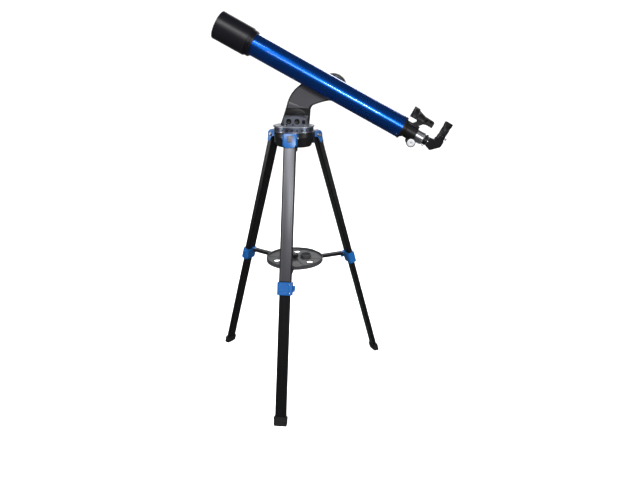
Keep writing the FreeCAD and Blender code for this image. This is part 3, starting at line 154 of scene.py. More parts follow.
@dataclass(frozen=True)
class Finish:
    """A painted, moulded or machined surface made of a principled shader and one noise field.

    Args:
        name: Name of the material.
        colour: Base colour, linear red, green and blue.
        metallic: How metallic it is, 0 to 1.
        roughness: Mean roughness.
        grain: How the pattern lies.
        size: Size of the pattern, in metres.
        relief: Height of the pattern, in metres.
        shade: Share by which the colour varies.
        drift: By how much the roughness varies.
        coat: Weight of a clear coat.
        coat_roughness: Roughness of the clear coat.
        axis: Direction of the grain's own axis.
        flakes: Whether metal flakes glitter in the paint.
        clear: Transmission weight, for glass.
        specular: Strength of the reflection of a surface that isn't metal.
    """

    name: str
    colour: tuple[float, float, float]
    metallic: float = 0.0
    roughness: float = 0.4
    grain: Grain = Grain.EVEN
    size: float = 0.0008
    relief: float = 0.00002
    shade: float = 0.12
    drift: float = 0.06
    coat: float = 0.0
    coat_roughness: float = 0.05
    axis: tuple[float, float, float] = (0.0, 0.0, 1.0)
    flakes: bool = False
    clear: float = 0.0
    specular: float = 0.5

    def material(self) -> bpy.types.Material:
        """The finish's material, made the first time it is asked for."""
        made = bpy.data.materials.get(self.name)
        return made if made else self._make()

    def _make(self) -> bpy.types.Material:
        """Build the node tree.

        Returns:
            The new material.
        """
        made = bpy.data.materials.new(self.name)
        made.use_nodes = True
        nodes, link = made.node_tree.nodes, made.node_tree.links.new
        shader = nodes["Principled BSDF"]
        shader.inputs["Metallic"].default_value = self.metallic
        shader.inputs["Coat Weight"].default_value = self.coat
        shader.inputs["Coat Roughness"].default_value = self.coat_roughness
        shader.inputs["Transmission Weight"].default_value = self.clear
        shader.inputs["Specular IOR Level"].default_value = self.specular
        place = nodes.new("ShaderNodeTexCoord")
        grid = nodes.new("ShaderNodeMapping")
        grid.vector_type = "TEXTURE"
        turn = Vector((0, 0, 1)).rotation_difference(Vector(self.axis)).to_euler()
        grid.inputs["Rotation"].default_value = turn
        grid.inputs["Scale"].default_value = [self.size * k for k in self.grain.value]
        link(place.outputs["Object"], grid.inputs["Vector"])
        noise = nodes.new("ShaderNodeTexNoise")
        noise.inputs["Scale"].default_value = 1.0
        noise.inputs["Detail"].default_value = 4.0
        link(grid.outputs["Vector"], noise.inputs["Vector"])
        field_value = noise.outputs["Fac"]
        colour = self._colour(nodes, link, place, field_value)
        link(colour, shader.inputs["Base Color"])
        self._roughness(nodes, link, place, field_value, shader)
        bump = nodes.new("ShaderNodeBump")
        bump.inputs["Strength"].default_value = BUMP_STRENGTH
        bump.inputs["Distance"].default_value = self.relief
        link(field_value, bump.inputs["Height"])
        link(bump.outputs["Normal"], shader.inputs["Normal"])
        return made

    def _colour(self, nodes: bpy.types.Nodes, link: Link, place: bpy.types.Node,
                field_value: bpy.types.NodeSocket) -> bpy.types.NodeSocket:
        """Colour that drifts with the pattern and, in flake paint, from flake to flake.

        Args:
            nodes: The tree's nodes.
            link: The tree's linking function.
            place: The texture coordinate node.
            field_value: The noise field's socket.

        Returns:
            The socket that gives the colour.
        """
        mix = nodes.new("ShaderNodeMix")
        mix.data_type = "RGBA"
        mix.inputs["A"].default_value = (*[c * (1 - self.shade) for c in self.colour], 1)
        mix.inputs["B"].default_value = (*[min(1, c * (1 + self.shade)) for c in self.colour], 1)
        link(field_value, mix.inputs["Factor"])
        if not self.flakes:
            return mix.outputs["Result"]
        cells = nodes.new("ShaderNodeTexVoronoi")
        cells.inputs["Scale"].default_value = FLAKES_PER_METRE
        link(place.outputs["Object"], cells.inputs["Vector"])
        glint = nodes.new("ShaderNodeMapRange")
        glint.inputs["From Min"].default_value = PLAIN_FLAKES
        glint.inputs["To Min"].default_value = FLAKE_DULL
        glint.inputs["To Max"].default_value = FLAKE_BRIGHT
        link(cells.outputs["Color"], glint.inputs["Value"])
        lit = nodes.new("ShaderNodeMix")
        lit.data_type = "RGBA"
        lit.blend_type = "MULTIPLY"
        lit.inputs["Factor"].default_value = 1.0
        link(mix.outputs["Result"], lit.inputs["A"])
        link(glint.outputs["Result"], lit.inputs["B"])
        return lit.outputs["Result"]

    def _roughness(self, nodes: bpy.types.Nodes, link: Link, place: bpy.types.Node,
                   field_value: bpy.types.NodeSocket, shader: bpy.types.Node) -> None:
        """Roughness that drifts with the pattern and with soft, wide patches of handling.

        Args:
            nodes: The tree's nodes.
            link: The tree's linking function.
            place: The texture coordinate node.
            field_value: The noise field's socket.
            shader: The principled shader.
        """
        patches = nodes.new("ShaderNodeTexNoise")
        patches.inputs["Scale"].default_value = PATCHES_PER_METRE
        link(place.outputs["Object"], patches.inputs["Vector"])
        both = nodes.new("ShaderNodeMath")
        both.operation = "ADD"
        link(field_value, both.inputs[0])
        link(patches.outputs["Fac"], both.inputs[1])
        spread = nodes.new("ShaderNodeMapRange")
        spread.inputs["From Max"].default_value = 2.0
        spread.inputs["To Min"].default_value = max(MIRROR_ROUGHNESS, self.roughness - 2 * self.drift)
        spread.inputs["To Max"].default_value = self.roughness + 2 * self.drift
        link(both.outputs["Value"], spread.inputs["Value"])
        link(spread.outputs["Result"], shader.inputs["Roughness"])


TUBE_AXIS = tuple(joint("tube_balance_slide")["axis"])
CROSS_AXIS = (0.0, 1.0, 0.0)

TUBE_BLUE = Finish("tube_blue_paint", (0.001, 0.085, 0.46), 0.92, 0.27, size=0.004, relief=0.000002,
                   shade=0.05, drift=0.02, coat=0.55, coat_roughness=0.05, flakes=True)
SATIN_BLACK = Finish("satin_black_plastic", (0.007, 0.007, 0.008), 0.0, 0.36, size=0.0006, relief=0.00003,
                     specular=0.25)
SHIELD_BLACK = Finish("shield_black_paint", (0.006, 0.006, 0.009), 0.0, 0.34, Grain.TURNED, 0.0009, 0.00001,
                      axis=TUBE_AXIS, specular=0.3)
GLOSS_BLACK = Finish("gloss_black_plastic", (0.005, 0.005, 0.006), 0.0, 0.20, size=0.002, relief=0.000004,
                     drift=0.03, specular=0.4)
ARM_GREY = Finish("arm_grey_paint", (0.085, 0.085, 0.094), 0.6, 0.36, size=0.0005, relief=0.00001,
                  coat=0.3, coat_roughness=0.25)
RING_METAL = Finish("ring_blue_grey", (0.095, 0.11, 0.155), 0.8, 0.34, Grain.TURNED, 0.0005, 0.000006)
PLATE_GREY = Finish("pale_plate", (0.38, 0.40, 0.43), 0.5, 0.34, size=0.0006)
PANEL_GREY = Finish("panel_grey_paint", (0.15, 0.16, 0.20), 0.6, 0.32, size=0.0006, relief=0.00001)
BLUE_PLASTIC = Finish("royal_blue_plastic", (0.008, 0.125, 0.42), 0.0, 0.32, size=0.0008, relief=0.00002,
                      coat=0.15, coat_roughness=0.2)
BRIGHT_ALUMINIUM = Finish("turned_aluminium", (0.50, 0.51, 0.54), 1.0, 0.32, Grain.TURNED, 0.0004, 0.000004,
                          axis=TUBE_AXIS)
FLAT_ALUMINIUM = Finish("drawn_aluminium", (0.74, 0.75, 0.77), 1.0, 0.30, Grain.BRUSHED, 0.0005, 0.000004,
                        axis=TUBE_AXIS)
CHROME = Finish("polished_chrome", (0.82, 0.83, 0.86), 1.0, 0.09, Grain.TURNED, 0.0005, 0.000002,
                drift=0.02, axis=TUBE_AXIS)
STEEL = Finish("bright_steel", (0.58, 0.58, 0.60), 1.0, 0.26, size=0.0007, relief=0.000006)
BOLT_STEEL = Finish("bolt_steel", (0.30, 0.31, 0.33), 1.0, 0.34, size=0.0007, relief=0.000006)
KNOB_SILVER = Finish("knob_cap_silver", (0.66, 0.66, 0.68), 0.3, 0.34, Grain.TURNED, 0.0004, 0.000004,
                     axis=CROSS_AXIS)
BRASS = Finish("satin_brass", (0.66, 0.47, 0.20), 1.0, 0.28, size=0.0008, relief=0.000006)
RUBBER = Finish("dull_rubber", (0.014, 0.014, 0.014), 0.0, 0.72, size=0.0009, relief=0.00006, specular=0.25)
LENS = Finish("coated_glass", (0.80, 0.93, 0.98), 0.0, 0.03, drift=0.005, relief=0.0, clear=1.0, coat=1.0)
MIRROR = Finish("front_mirror", (0.93, 0.93, 0.95), 1.0, 0.03, drift=0.005, relief=0.0)
TRAY_GREY = Finish("speckled_tray", (0.055, 0.057, 0.062), 0.1, 0.44, size=0.0011, relief=0.00008, shade=0.75)
WINDOW_GREY = Finish("window_grey", (0.10, 0.10, 0.11), 0.2, 0.4, size=0.0006)
RED_LAMP = Finish("red_lens", (0.22, 0.006, 0.006), 0.0, 0.12, relief=0.0)


def leg_axis(name: str) -> tuple[float, float, float]:
    """Direction along a leg, from its sliding joint."""
    return tuple(joint("leg_extend_" + name)["axis"])


def leg_grey(name: str) -> Finish:
    """Grey on the outer face of one upper leg: a painted highlight, a lighter copy of the leg's black anodising on
    the side that faces the light.
    """
    # Painted highlight: this grey stands for light falling on the leg's outer face.
    return Finish("leg_grey_" + name, (0.115, 0.115, 0.13), 0.55, 0.40, Grain.BRUSHED, 0.0006, 0.000008,
                  axis=leg_axis(name))


def leg_black(name: str) -> Finish:
    """Drawn black anodising of one leg."""
    return Finish("leg_black_" + name, (0.013, 0.013, 0.014), 0.6, 0.32, Grain.BRUSHED, 0.0006, 0.000008,
                  axis=leg_axis(name))


def dress(finish: Finish, *nodes: str) -> None:
    """Give the CAD nodes a finish.

    Args:
        finish: The finish.
        *nodes: Names of the nodes.
    """
    for node in nodes:
        slots = frame["nodes"][node].data.materials
        slots.clear()
        slots.append(finish.material())


# ------------------------------------------------------------------ bench

WELD_GAP = 0.002  # millimetres within which the corners of a CAD surface are one
SMOOTH_ANGLE = 32.0


def select_only(piece: bpy.types.Object) -> None:
    """Select one object, make it the active one, and deselect all others.

    Args:
        piece: The object.
    """
    bpy.ops.object.select_all(action="DESELECT")
    piece.select_set(True)
    bpy.context.view_layer.objects.active = piece


class Blank:
    """A primitive on the bench, shaped in edit mode in its own local frame, in millimetres."""

    def __init__(self, name: str) -> None:
        """Take the object that was just added and open it in edit mode.

        Args:
            name: Name of the piece.
        """
        self.object = bpy.context.object
        self.object.name = name
        bpy.ops.object.mode_set(mode="EDIT")

    @classmethod
    def box(cls, name: str, low: Sequence[float], high: Sequence[float]) -> "Blank":
        """A box between two corners.

        Args:
            name: Name of the piece.
            low: Its lowest corner.
            high: Its highest corner.

        Returns:
            The box.
        """
        bpy.ops.object.select_all(action="DESELECT")
        middle = [(a + b) / 2 for a, b in zip(low, high)]
        bpy.ops.mesh.primitive_cube_add(size=1)
        blank = cls(name)
        bpy.ops.transform.resize(value=[b - a for a, b in zip(low, high)], center_override=(0, 0, 0))
        bpy.ops.transform.translate(value=middle)
        return blank

    @classmethod
    def turned(cls, name: str, profile: Profile, sides: int = 64) -> "Blank":
        """A turned piece: a disc drawn out step by step along Z.

        Args:
            name: Name of the piece.
            profile: Radius and height of each step, in order along the surface.
            sides: Number of sides round the axis.

        Returns:
            The closed piece.
        """
        bpy.ops.object.select_all(action="DESELECT")
        radius = profile[0][0]
        bpy.ops.mesh.primitive_circle_add(vertices=sides, radius=radius, fill_type="NGON")
        return cls(name).draw_out(profile)

    @classmethod
    def ring(cls, name: str, profile: Profile, sides: int = 64) -> "Blank":
        """A ring: a circle drawn out round its closed section.

        Args:
            name: Name of the piece.
            profile: Radius and height of each corner of the section, in order.
            sides: Number of sides round the axis.

        Returns:
            The closed ring, hollow round its axis.
        """
        bpy.ops.object.select_all(action="DESELECT")
        radius = profile[0][0]
        bpy.ops.mesh.primitive_circle_add(vertices=sides, radius=radius, fill_type="NOTHING")
        blank = cls(name)
        bpy.ops.mesh.select_mode(type="EDGE")
        bpy.ops.mesh.select_all(action="SELECT")
        return blank.draw_out(profile).bridge()

    @classmethod
    def plate(cls, name: str, outline: Sequence[tuple[float, float]], low: float, high: float) -> "Blank":
        """A flat plate of a given outline.

        Args:
            name: Name of the piece.
            outline: Corners in XY, in order.
            low: Height of its underside.
            high: Height of its top.

        Returns:
            The closed plate.
        """
        bpy.ops.object.select_all(action="DESELECT")
        bpy.ops.mesh.primitive_circle_add(vertices=len(outline), radius=1, fill_type="NGON")
        blank = cls(name)
        mesh = bmesh.from_edit_mesh(blank.object.data)
        mesh.verts.ensure_lookup_table()
        for corner, (x, y) in zip(mesh.verts, outline):
            corner.co = (x, y, low)
        bmesh.update_edit_mesh(blank.object.data)
        bpy.ops.mesh.extrude_region_move(TRANSFORM_OT_translate={"value": (0, 0, high - low)})
        return blank

    @classmethod
    def skin(cls, name: str, node: str, place: Matrix, test: Test) -> "Blank":
        """A sheet that follows part of a CAD node's surface.

        Args:
            name: Name of the piece.
            node: The node whose surface it follows.
            place: The piece's local frame, in metres.
            test: Picks the faces by centre and normal, in the local frame.

        Returns:
            The open sheet, ready for `thicken`.
        """
        source = frame["nodes"][node]
        mesh = source.data.copy()
        mesh.transform(Matrix.Scale(1 / MM, 4) @ place.inverted() @ source.matrix_world)
        twin = bpy.data.objects.new(name, mesh)
        bpy.context.collection.objects.link(twin)
        select_only(twin)
        bpy.ops.mesh.customdata_custom_splitnormals_clear()
        blank = cls(name)
        bpy.ops.mesh.select_all(action="SELECT")
        bpy.ops.mesh.remove_doubles(threshold=WELD_GAP)
        blank.pick(lambda centre, normal: not test(centre, normal))
        bpy.ops.mesh.delete(type="FACE")
        return blank

    def draw_out(self, profile: Profile) -> "Blank":
        """Draw the selected disc or circle out step by step along Z.

        Args:
            profile: Radius and height of each step. The first is the disc's own.

        Returns:
            The blank.
        """
        radius, height = profile[0]
        bpy.ops.transform.translate(value=(0, 0, height))
        for next_radius, next_height in profile[1:]:
            grow = next_radius / radius
            self.pull(z=next_height - height).taper(grow, grow, (0, 0, next_height))
            radius, height = next_radius, next_height
        return self

    def bridge(self) -> "Blank":
        """Close the gap between the mesh's two open edges with a band of faces.

        Returns:
            The blank.
        """
        bpy.ops.mesh.select_mode(type="EDGE")
        bpy.ops.mesh.select_all(action="DESELECT")
        bpy.ops.mesh.select_non_manifold()
        bpy.ops.mesh.bridge_edge_loops()
        return self

    def keep_side(self, point: Sequence[float], normal: Sequence[float]) -> "Blank":
        """Cut the mesh with a plane and keep one side.

        Args:
            point: A point of the plane.
            normal: The plane's normal, which points to the side that stays.

        Returns:
            The blank.
        """
        mesh = bmesh.from_edit_mesh(self.object.data)
        parts = mesh.verts[:] + mesh.edges[:] + mesh.faces[:]
        bmesh.ops.bisect_plane(mesh, geom=parts, plane_co=point, plane_no=normal, clear_inner=True)
        bmesh.update_edit_mesh(self.object.data)
        return self

    def trim_edge(self, width: float) -> "Blank":
        """Cut a border off an open sheet.

        Args:
            width: The border's width.

        Returns:
            The blank.
        """
        bpy.ops.mesh.select_mode(type="FACE")
        bpy.ops.mesh.select_all(action="SELECT")
        bpy.ops.mesh.inset(thickness=width, use_boundary=True)
        bpy.ops.mesh.select_all(action="INVERT")
        bpy.ops.mesh.delete(type="FACE")
        return self

    def thicken(self, thickness: float) -> "Blank":
        """Turn an open sheet into a plate that stands out from it, and stay in edit mode.

        Args:
            thickness: The plate's thickness.

        Returns:
            The blank.
        """
        bpy.ops.object.mode_set(mode="OBJECT")
        sheet = self.object.modifiers.new("sheet", "SOLIDIFY")
        sheet.thickness = thickness
        sheet.offset = 1.0
        bpy.ops.object.modifier_apply(modifier=sheet.name)
        bpy.ops.object.mode_set(mode="EDIT")
        return self

    def pick(self, test: Test) -> "Blank":
        """Select some faces and nothing else.

        Args:
            test: Picks the faces by centre and normal, in the local frame.

        Returns:
            The blank.
        """
        bpy.ops.mesh.select_all(action="DESELECT")
        bpy.ops.mesh.select_mode(type="FACE")
        mesh = bmesh.from_edit_mesh(self.object.data)
        for face in mesh.faces:
            face.select_set(test(face.calc_center_median(), face.normal))
        bmesh.update_edit_mesh(self.object.data)
        return self

    def mend(self) -> "Blank":
        """Turn every face outwards.

        Returns:
            The blank.
        """
        bpy.ops.mesh.select_all(action="SELECT")
        bpy.ops.mesh.normals_make_consistent(inside=False)
        return self

    def inset(self, width: float, depth: float = 0.0, each: bool = False) -> "Blank":
        """Inset the selected faces and sink them."""
        bpy.ops.mesh.inset(thickness=width, depth=-depth, use_individual=each)
        return self

    def pull(self, x: float = 0.0, y: float = 0.0, z: float = 0.0) -> "Blank":
        """Extrude the selected faces."""
        bpy.ops.mesh.extrude_region_move(TRANSFORM_OT_translate={"value": (x, y, z)})
        return self

    def taper(self, x: float, y: float, about: Sequence[float]) -> "Blank":
        """Scale the selected faces in X and Y about a point."""
        bpy.ops.transform.resize(value=(x, y, 1), center_override=about)
        return self

    def done(self, soften: float = 0.0, steps: int = 2, corner: float = 30.0) -> "Blank":
        """Close edit mode and round the sharp edges.

        Args:
            soften: Radius of the rounding, or 0 for none.
            steps: Segments of the rounding.
            corner: Edges that turn by more than this many degrees are sharp.

        Returns:
            The blank.
        """
        self.mend()
        bpy.ops.object.mode_set(mode="OBJECT")
        if soften:
            rounding = self.object.modifiers.new("rounding", "BEVEL")
            rounding.width = soften
            rounding.segments = steps
            rounding.limit_method = "ANGLE"
            rounding.angle_limit = math.radians(corner)
            bpy.ops.object.modifier_apply(modifier=rounding.name)
        return self

    def join(self, other: "Blank") -> "Blank":
        """Make another finished blank part of this one.

        Args:
            other: The other blank.

        Returns:
            The blank.
        """
        select_only(self.object)
        other.object.select_set(True)
        bpy.ops.object.join()
        return self

    def copies(self, places: Sequence[Matrix]) -> "Blank":
        """Join copies of the piece, one at each place, and turn the faces of mirrored ones outwards again.

        Args:
            places: Places in the piece's own frame.

        Returns:
            The blank, which now holds the copies alone.
        """
        source, name = self.object, self.object.name
        made = []
        for place in places:
            twin = source.copy()
            twin.data = source.data.copy()
            twin.data.transform(place)
            bpy.context.collection.objects.link(twin)
            made.append(twin)
        bpy.data.objects.remove(source)
        select_only(made[0])
        for twin in made:
            twin.select_set(True)
        bpy.ops.object.join()
        self.object = made[0]
        self.object.name = name
        if any(place.is_negative for place in places):
            bpy.ops.object.mode_set(mode="EDIT")
            self.mend()
            bpy.ops.object.mode_set(mode="OBJECT")
        return self

    def fit(self, place: Matrix, finish: Finish, body: str, slot: str) -> bpy.types.Object:
        """Set the piece in its place on the object.

        Args:
            place: Where its local frame lies, in metres.
            finish: Its finish.
            body: The body that it moves with.
            slot: The record's material slot. Not used.

        Returns:
            The finished object.
        """
        piece = self.object
        piece.matrix_world = place @ Matrix.Scale(MM, 4)
        select_only(piece)
        bpy.ops.object.transform_apply(location=True, rotation=True, scale=True)
        bpy.ops.object.shade_smooth_by_angle(angle=math.radians(SMOOTH_ANGLE))
        piece.data.materials.clear()
        piece.data.materials.append(finish.material())
        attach(piece, body)
        LOG.info("%s rides on %s, %d faces", piece.name, body, len(piece.data.polygons))
        return piece


# ------------------------------------------------------------------ stand


@dataclass
class Leg:
    """One leg with its hinge bolts, clamp and foot. Sizes in millimetres, in the leg's own frame.

    The frame's Z runs down the leg, its X along the hinge pin and its Y outwards.
    """

    name: str
    upper_depth: float = 27.0
    lower_width: float = 50.0
    lower_depth: float = 21.0
    length: float = 1255.4
    face_start: float = 46.0
    face_half_width: float = 22.5
    lip_spread: float = 17.5
    clamp_start: float = 632.0
    clamp_length: float = 56.0
    clamp_wall: float = 6.0
    bracket_half: float = 31.96
    bracket_slot_half: float = 28.56
    band_step: float = 5.4
    place: Matrix = field(init=False)

    def __post_init__(self) -> None:
        """Work the leg's place out from its hinge and slide."""
        hinge = joint("leg_fold_" + self.name)
        down = -Vector(leg_axis(self.name))
        self.place = axes(Vector(hinge["pos_m"]), down, Vector(hinge["axis"]))

    def build(self) -> None:
        """Dress the CAD nodes and add the fine pieces."""
        self.dress()
        self.hinge_bolts()
        self.cap_shield()
        self.face_plate()
        self.clamp_ribs()
        self.tread()

    def dress(self) -> None:
        """Finishes of the leg's own nodes."""
        name = self.name
        dress(leg_black(name), "upper_leg_" + name, "lower_leg_" + name)
        dress(BLUE_PLASTIC, "leg_clamp_" + name, "clamp_lever_" + name)
        dress(RUBBER, "foot_" + name)
        dress(SATIN_BLACK, "strut_" + name)

    def hinge_bolts(self) -> None:
        """Bolt heads with a flange on both ends of the hinge pin."""
        bolt = Blank.turned("hinge_bolt_" + self.name, [(9.0, 0.0), (9.0, 1.2), (8.4, 1.6)], 32)
        bolt.pick(lambda c, n: c.z > 1.5 and n.z > 0.9).pull(z=0.2).taper(0.8, 0.8, (0, 0, 1.8)).pull(z=3.2)
        bolt.pull(z=1.0).taper(0.75, 0.75, (0, 0, 6.2)).done(0.3)
        ends = [shift(side * (self.bracket_half + 0.1)) @ Matrix.Rotation(math.radians(90 * side), 4, "Y")
                for side in (1, -1)]
        bolt.copies(ends).fit(self.place, BOLT_STEEL, "head", "steel")

    def cap_shield(self) -> None:
        """Blue shield over the leg's knuckle with a ribbed grey window."""
        front = self.place @ mm(shift(y=self.upper_depth / 2)) @ UPRIGHT
        outline = [(-27.4, 14), (-24, 17), (24, 17), (27.4, 14), (27.4, -27), (24.5, -38), (18, -45),
                   (-18, -45), (-24.5, -38), (-27.4, -27)]
        shield = Blank.plate("leg_cap_" + self.name, outline, -0.4, 1.5)
        shield.pick(lambda c, n: n.z > 0.9).inset(2.2).inset(0.8, 0.5)
        shield.done(0.5, 3).fit(front, BLUE_PLASTIC, "leg_" + self.name, "blue_plastic")
        pane = [(-14, 9), (14, 9), (11.5, -21), (-11.5, -21)]
        window = Blank.plate("leg_window_" + self.name, pane, 0.6, 1.6)
        window.done(0.4, 2).fit(front, WINDOW_GREY, "leg_" + self.name, "leg_grey")
        rib = Blank.box("leg_window_ribs_" + self.name, (-0.7, -17, 1.2), (0.7, 5, 2.1))
        rib.done(0.3, 2).copies([shift(4.2 * k) for k in (-2, -1, 0, 1, 2)])
        rib.fit(front, PANEL_GREY, "leg_" + self.name, "leg_grey")

    def face_plate(self) -> None:
        """Grey face strip with two raised lips on the outside of the upper leg; the grey is a painted highlight
        where that face turns to the light.
        """
        front = self.place @ mm(shift(y=self.upper_depth / 2)) @ UPRIGHT
        half, start, end = self.face_half_width, -self.face_start, 4 - self.clamp_start
        # Painted highlight: the grey strip stands for light on the leg's outer face.
        strip = Blank.box("leg_face_" + self.name, (-half, end, -0.3), (half, start, 0.5))
        strip.done(0.25, 2).fit(front, leg_grey(self.name), "leg_" + self.name, "leg_grey")
        lip = Blank.box("leg_lips_" + self.name, (-1.8, end, 0.3), (1.8, start, 1.3))
        lip.done(0.5, 3).copies([shift(x) for x in (-self.lip_spread, self.lip_spread)])
        lip.fit(front, leg_grey(self.name), "leg_" + self.name, "leg_grey")

    def clamp_ribs(self) -> None:
        """Grip ribs across the clamp's outer face, and two pan-head screws beside them."""
        front = self.upper_depth / 2 + self.clamp_wall
        here = self.place @ mm(shift(0, front, self.clamp_start)) @ UPRIGHT
        rib = Blank.box("clamp_ribs_" + self.name, (-25, -3.6, -0.3), (13, 3.6, 1.2))
        rib.pick(lambda c, n: n.z > 0.9).inset(1.2).inset(0.4, 0.4)
        rib.done(0.4, 2).copies([shift(y=-10 - 12 * k) for k in range(4)])
        rib.fit(here, BLUE_PLASTIC, "leg_" + self.name, "blue_plastic")
        screw = pan_head("clamp_screws_" + self.name, 3.4)
        screw.copies([shift(22, -self.clamp_length / 2 + y) for y in (-18, 18)])
        screw.fit(here, STEEL, "leg_" + self.name, "steel")

    def tread(self) -> None:
        """Two grip bands round the rubber foot."""
        outline = rounded(self.lower_width / 2 + self.band_step, self.lower_depth / 2 + self.band_step, 7.4)
        band = Blank.plate("foot_bands_" + self.name, outline, 0.0, 2.6).done(0.8, 3, 60)
        spots = [shift(z=self.length - 31 + 6 * k) for k in range(2)]
        band.copies(spots).fit(self.place, RUBBER, "lower_leg_" + self.name, "rubber")


def rounded(half_x: float, half_y: float, radius: float, steps: int = 6) -> list[tuple[float, float]]:
    """Outline of a rectangle with round corners.

    Args:
        half_x: Half its width.
        half_y: Half its depth.
        radius: Radius of its corners.
        steps: Straight pieces in each corner.

    Returns:
        The corners, anticlockwise.
    """
    outline = []
    for quarter, (sx, sy) in enumerate(((1, 1), (-1, 1), (-1, -1), (1, -1))):
        for step in range(steps + 1):
            angle = math.radians(90 * quarter + 90 * step / steps)
            outline.append((sx * (half_x - radius) + radius * math.cos(angle),
                            sy * (half_y - radius) + radius * math.sin(angle)))
    return outline


def pan_head(name: str, radius: float) -> Blank:
    """A pan-head screw with a cross recess, standing on Z = 0.

    Args:
        name: Name of the piece.
        radius: Radius of the head.

    Returns:
        The finished blank.
    """
    head = Blank.turned(name, [(radius, 0.0), (radius, radius * 0.35), (radius * 0.8, radius * 0.62)], 24)
    head.pick(lambda c, n: n.z > 0.95 and c.z > radius * 0.6)
    head.inset(radius * 0.38).inset(radius * 0.06, radius * 0.3)
    return head.done(radius * 0.06)


def ribbed(name: str, radius: float, low: float, high: float, ribs: int, depth: float = 0.7) -> Blank:
    """A grip sleeve with flutes along its axis.

    Args:
        name: Name of the piece.
        radius: Radius over the ribs.
        low: Height of its lower end.
        high: Height of its upper end.
        ribs: Number of flutes.
        depth: Depth of a flute.

    Returns:
        The finished blank.
    """
    inside = radius - 2 * depth
    profile = [(inside, low), (radius - depth, low), (radius, low + depth), (radius, high - depth),
               (radius - depth, high), (inside, high)]
    sleeve = Blank.ring(name, profile, 2 * ribs)
    step = math.tau / (2 * ribs)

    def every_other(centre: Vector, normal: Vector) -> bool:
        """Whether a face looks outwards and is an even one, counted round the axis."""
        outwards = abs(normal.z) < 0.3 and normal.xy.dot(centre.xy) > 0
        return outwards and round(math.atan2(centre.y, centre.x) / step - 0.5) % 2 == 0

    sleeve.mend().pick(every_other)
    sleeve.inset(0.12 * step * radius, depth, each=True)
    return sleeve.done(0.12, 1)


@dataclass
class Stand:
    """Head, legs, spreader and tray."""

    tray_radius: float = 138.0
    rim_width: float = 5.0
    rim_height: float = 17.5
    notch_half: float = 17.0
    floor_rib_start: float = 28.0

    def build(self) -> None:
        """Dress the stand and add its fine pieces."""
        dress(SATIN_BLACK, "tripod_head", "mount_bolt_knob", "tray_knob")
        self.brackets()
        dress(STEEL, "hinge_pins")
        dress(BRASS, "azimuth_gear")
        dress(TRAY_GREY, "tray")
        for name in LEGS:
            Leg(name).build()
        self.tray_rim()
        self.eyepiece_seats()
        self.tray_floor()
        self.knob_cap()
        self.head_rib()

    def brackets(self) -> None:
        """Three forks whose cheeks taper down to the outside, in place of the plain CAD forks."""
        cheek = [(-23.2, -17.9), (4, -17.9), (11, -15.5), (15.2, -9.5), (15.9, -2), (15.9, 28), (13.5, 34),
                 (9.5, 35.9), (5.5, 32), (-5, 12), (-12, 9), (-23.2, 9)]
        side = Blank.plate("hinge_forks", cheek, Leg.bracket_slot_half, Leg.bracket_half)
        side.pick(lambda c, n: n.z > 0.9).inset(2.4).inset(0.8, 0.7)
        side.done(0.6, 2).copies(both_sides(CHEEK))
        side.join(Blank.box("hinge_fork_web", (-30, -23.2, -17.9), (30, 8, -15.1)).done(0.3, 1))
        hinges = [joint("leg_fold_" + name) for name in LEGS]
        down = Vector((0, 0, -1))
        spots = [axes(Vector(hinge["pos_m"]) / MM, down, Vector(hinge["axis"])) for hinge in hinges]
        forks = side.copies(spots).fit(WORLD, BLUE_PLASTIC, "head", "blue_plastic")
        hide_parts("hinge_brackets")

    def tray_rim(self) -> None:
        """Smooth black bead on the tray's rim, broken at the three notches."""
        rim_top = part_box("tray")[0].z / MM + self.rim_height
        notch = math.degrees(self.notch_half / self.tray_radius)
        inside, outside = self.tray_radius - self.rim_width + 0.4, self.tray_radius - 0.4
        bead = Blank.box("tray_rim_bead", (inside, -0.1, 0), (outside, 0.1, 1.4))
        bead.pick(lambda c, n: n.y > 0.9)
        sweep = math.radians(360 / len(LEGS) - 2 * notch)
        bpy.ops.mesh.spin(steps=26, angle=sweep, center=(0, 0, 0), axis=(0, 0, 1))
        spots = [Matrix.Rotation(math.radians(azimuth + notch), 4, "Z") @ shift(z=rim_top)
                 for azimuth in LEGS.values()]
        bead.done(0.6, 3).copies(spots).fit(WORLD, SATIN_BLACK, "tray", "black_plastic")

    def eyepiece_seats(self) -> None:
        """Raised rings round the three eyepiece holes."""
        ring = Blank.ring("eyepiece_seats", [(16.4, 0.0), (20.0, 0.0), (20.0, 1.2), (16.4, 1.2)], 48)
        holes = [Vector(mount["pos_m"]) / MM for mount in frame["record"]["mounts"]
                 if mount["name"].startswith("tray_eyepiece_hole")]
        spots = [shift(hole.x, hole.y, self.floor_height() / MM) for hole in holes]
        ring.done().copies(spots).fit(WORLD, SATIN_BLACK, "tray", "black_plastic")

    def tray_floor(self) -> None:
        """Six low ribs across the tray's floor, between its holes."""
        end = self.tray_radius - 9
        rib = Blank.box("tray_floor_ribs", (self.floor_rib_start, -1.1, -0.4), (end, 1.1, 1.0)).done(0.3, 2)
        rib.copies(around(6, 0, self.floor_height() / MM)).fit(WORLD, SATIN_BLACK, "tray", "black_plastic")

    def floor_height(self) -> float:
        """Height of the tray's floor, from its knob's underside."""
        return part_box("tray_knob")[0].z

    def knob_cap(self) -> None:
        """Dished cap on the tray's knob."""
        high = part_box("tray_knob")[1]
        dish = [(10.5, 0.0), (10.5, 0.6), (9.0, 1.1), (4.0, 1.1), (3.0, 0.4)]
        cap = Blank.turned("tray_knob_cap", dish, 40)
        cap.done(0.2).fit(shift(z=high.z), GLOSS_BLACK, "tray_knob", "black_plastic")

    def head_rib(self) -> None:
        """Raised band round the head, under its rim."""
        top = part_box("tripod_head")[1].z
        band = Blank.ring("head_band", [(89.5, 0.0), (90.7, 0.4), (90.7, 2.6), (89.5, 3.0)], 128)
        band.done(0.2).fit(shift(z=top - 6 * MM), SATIN_BLACK, "head", "black_plastic")


# ------------------------------------------------------------------ mount


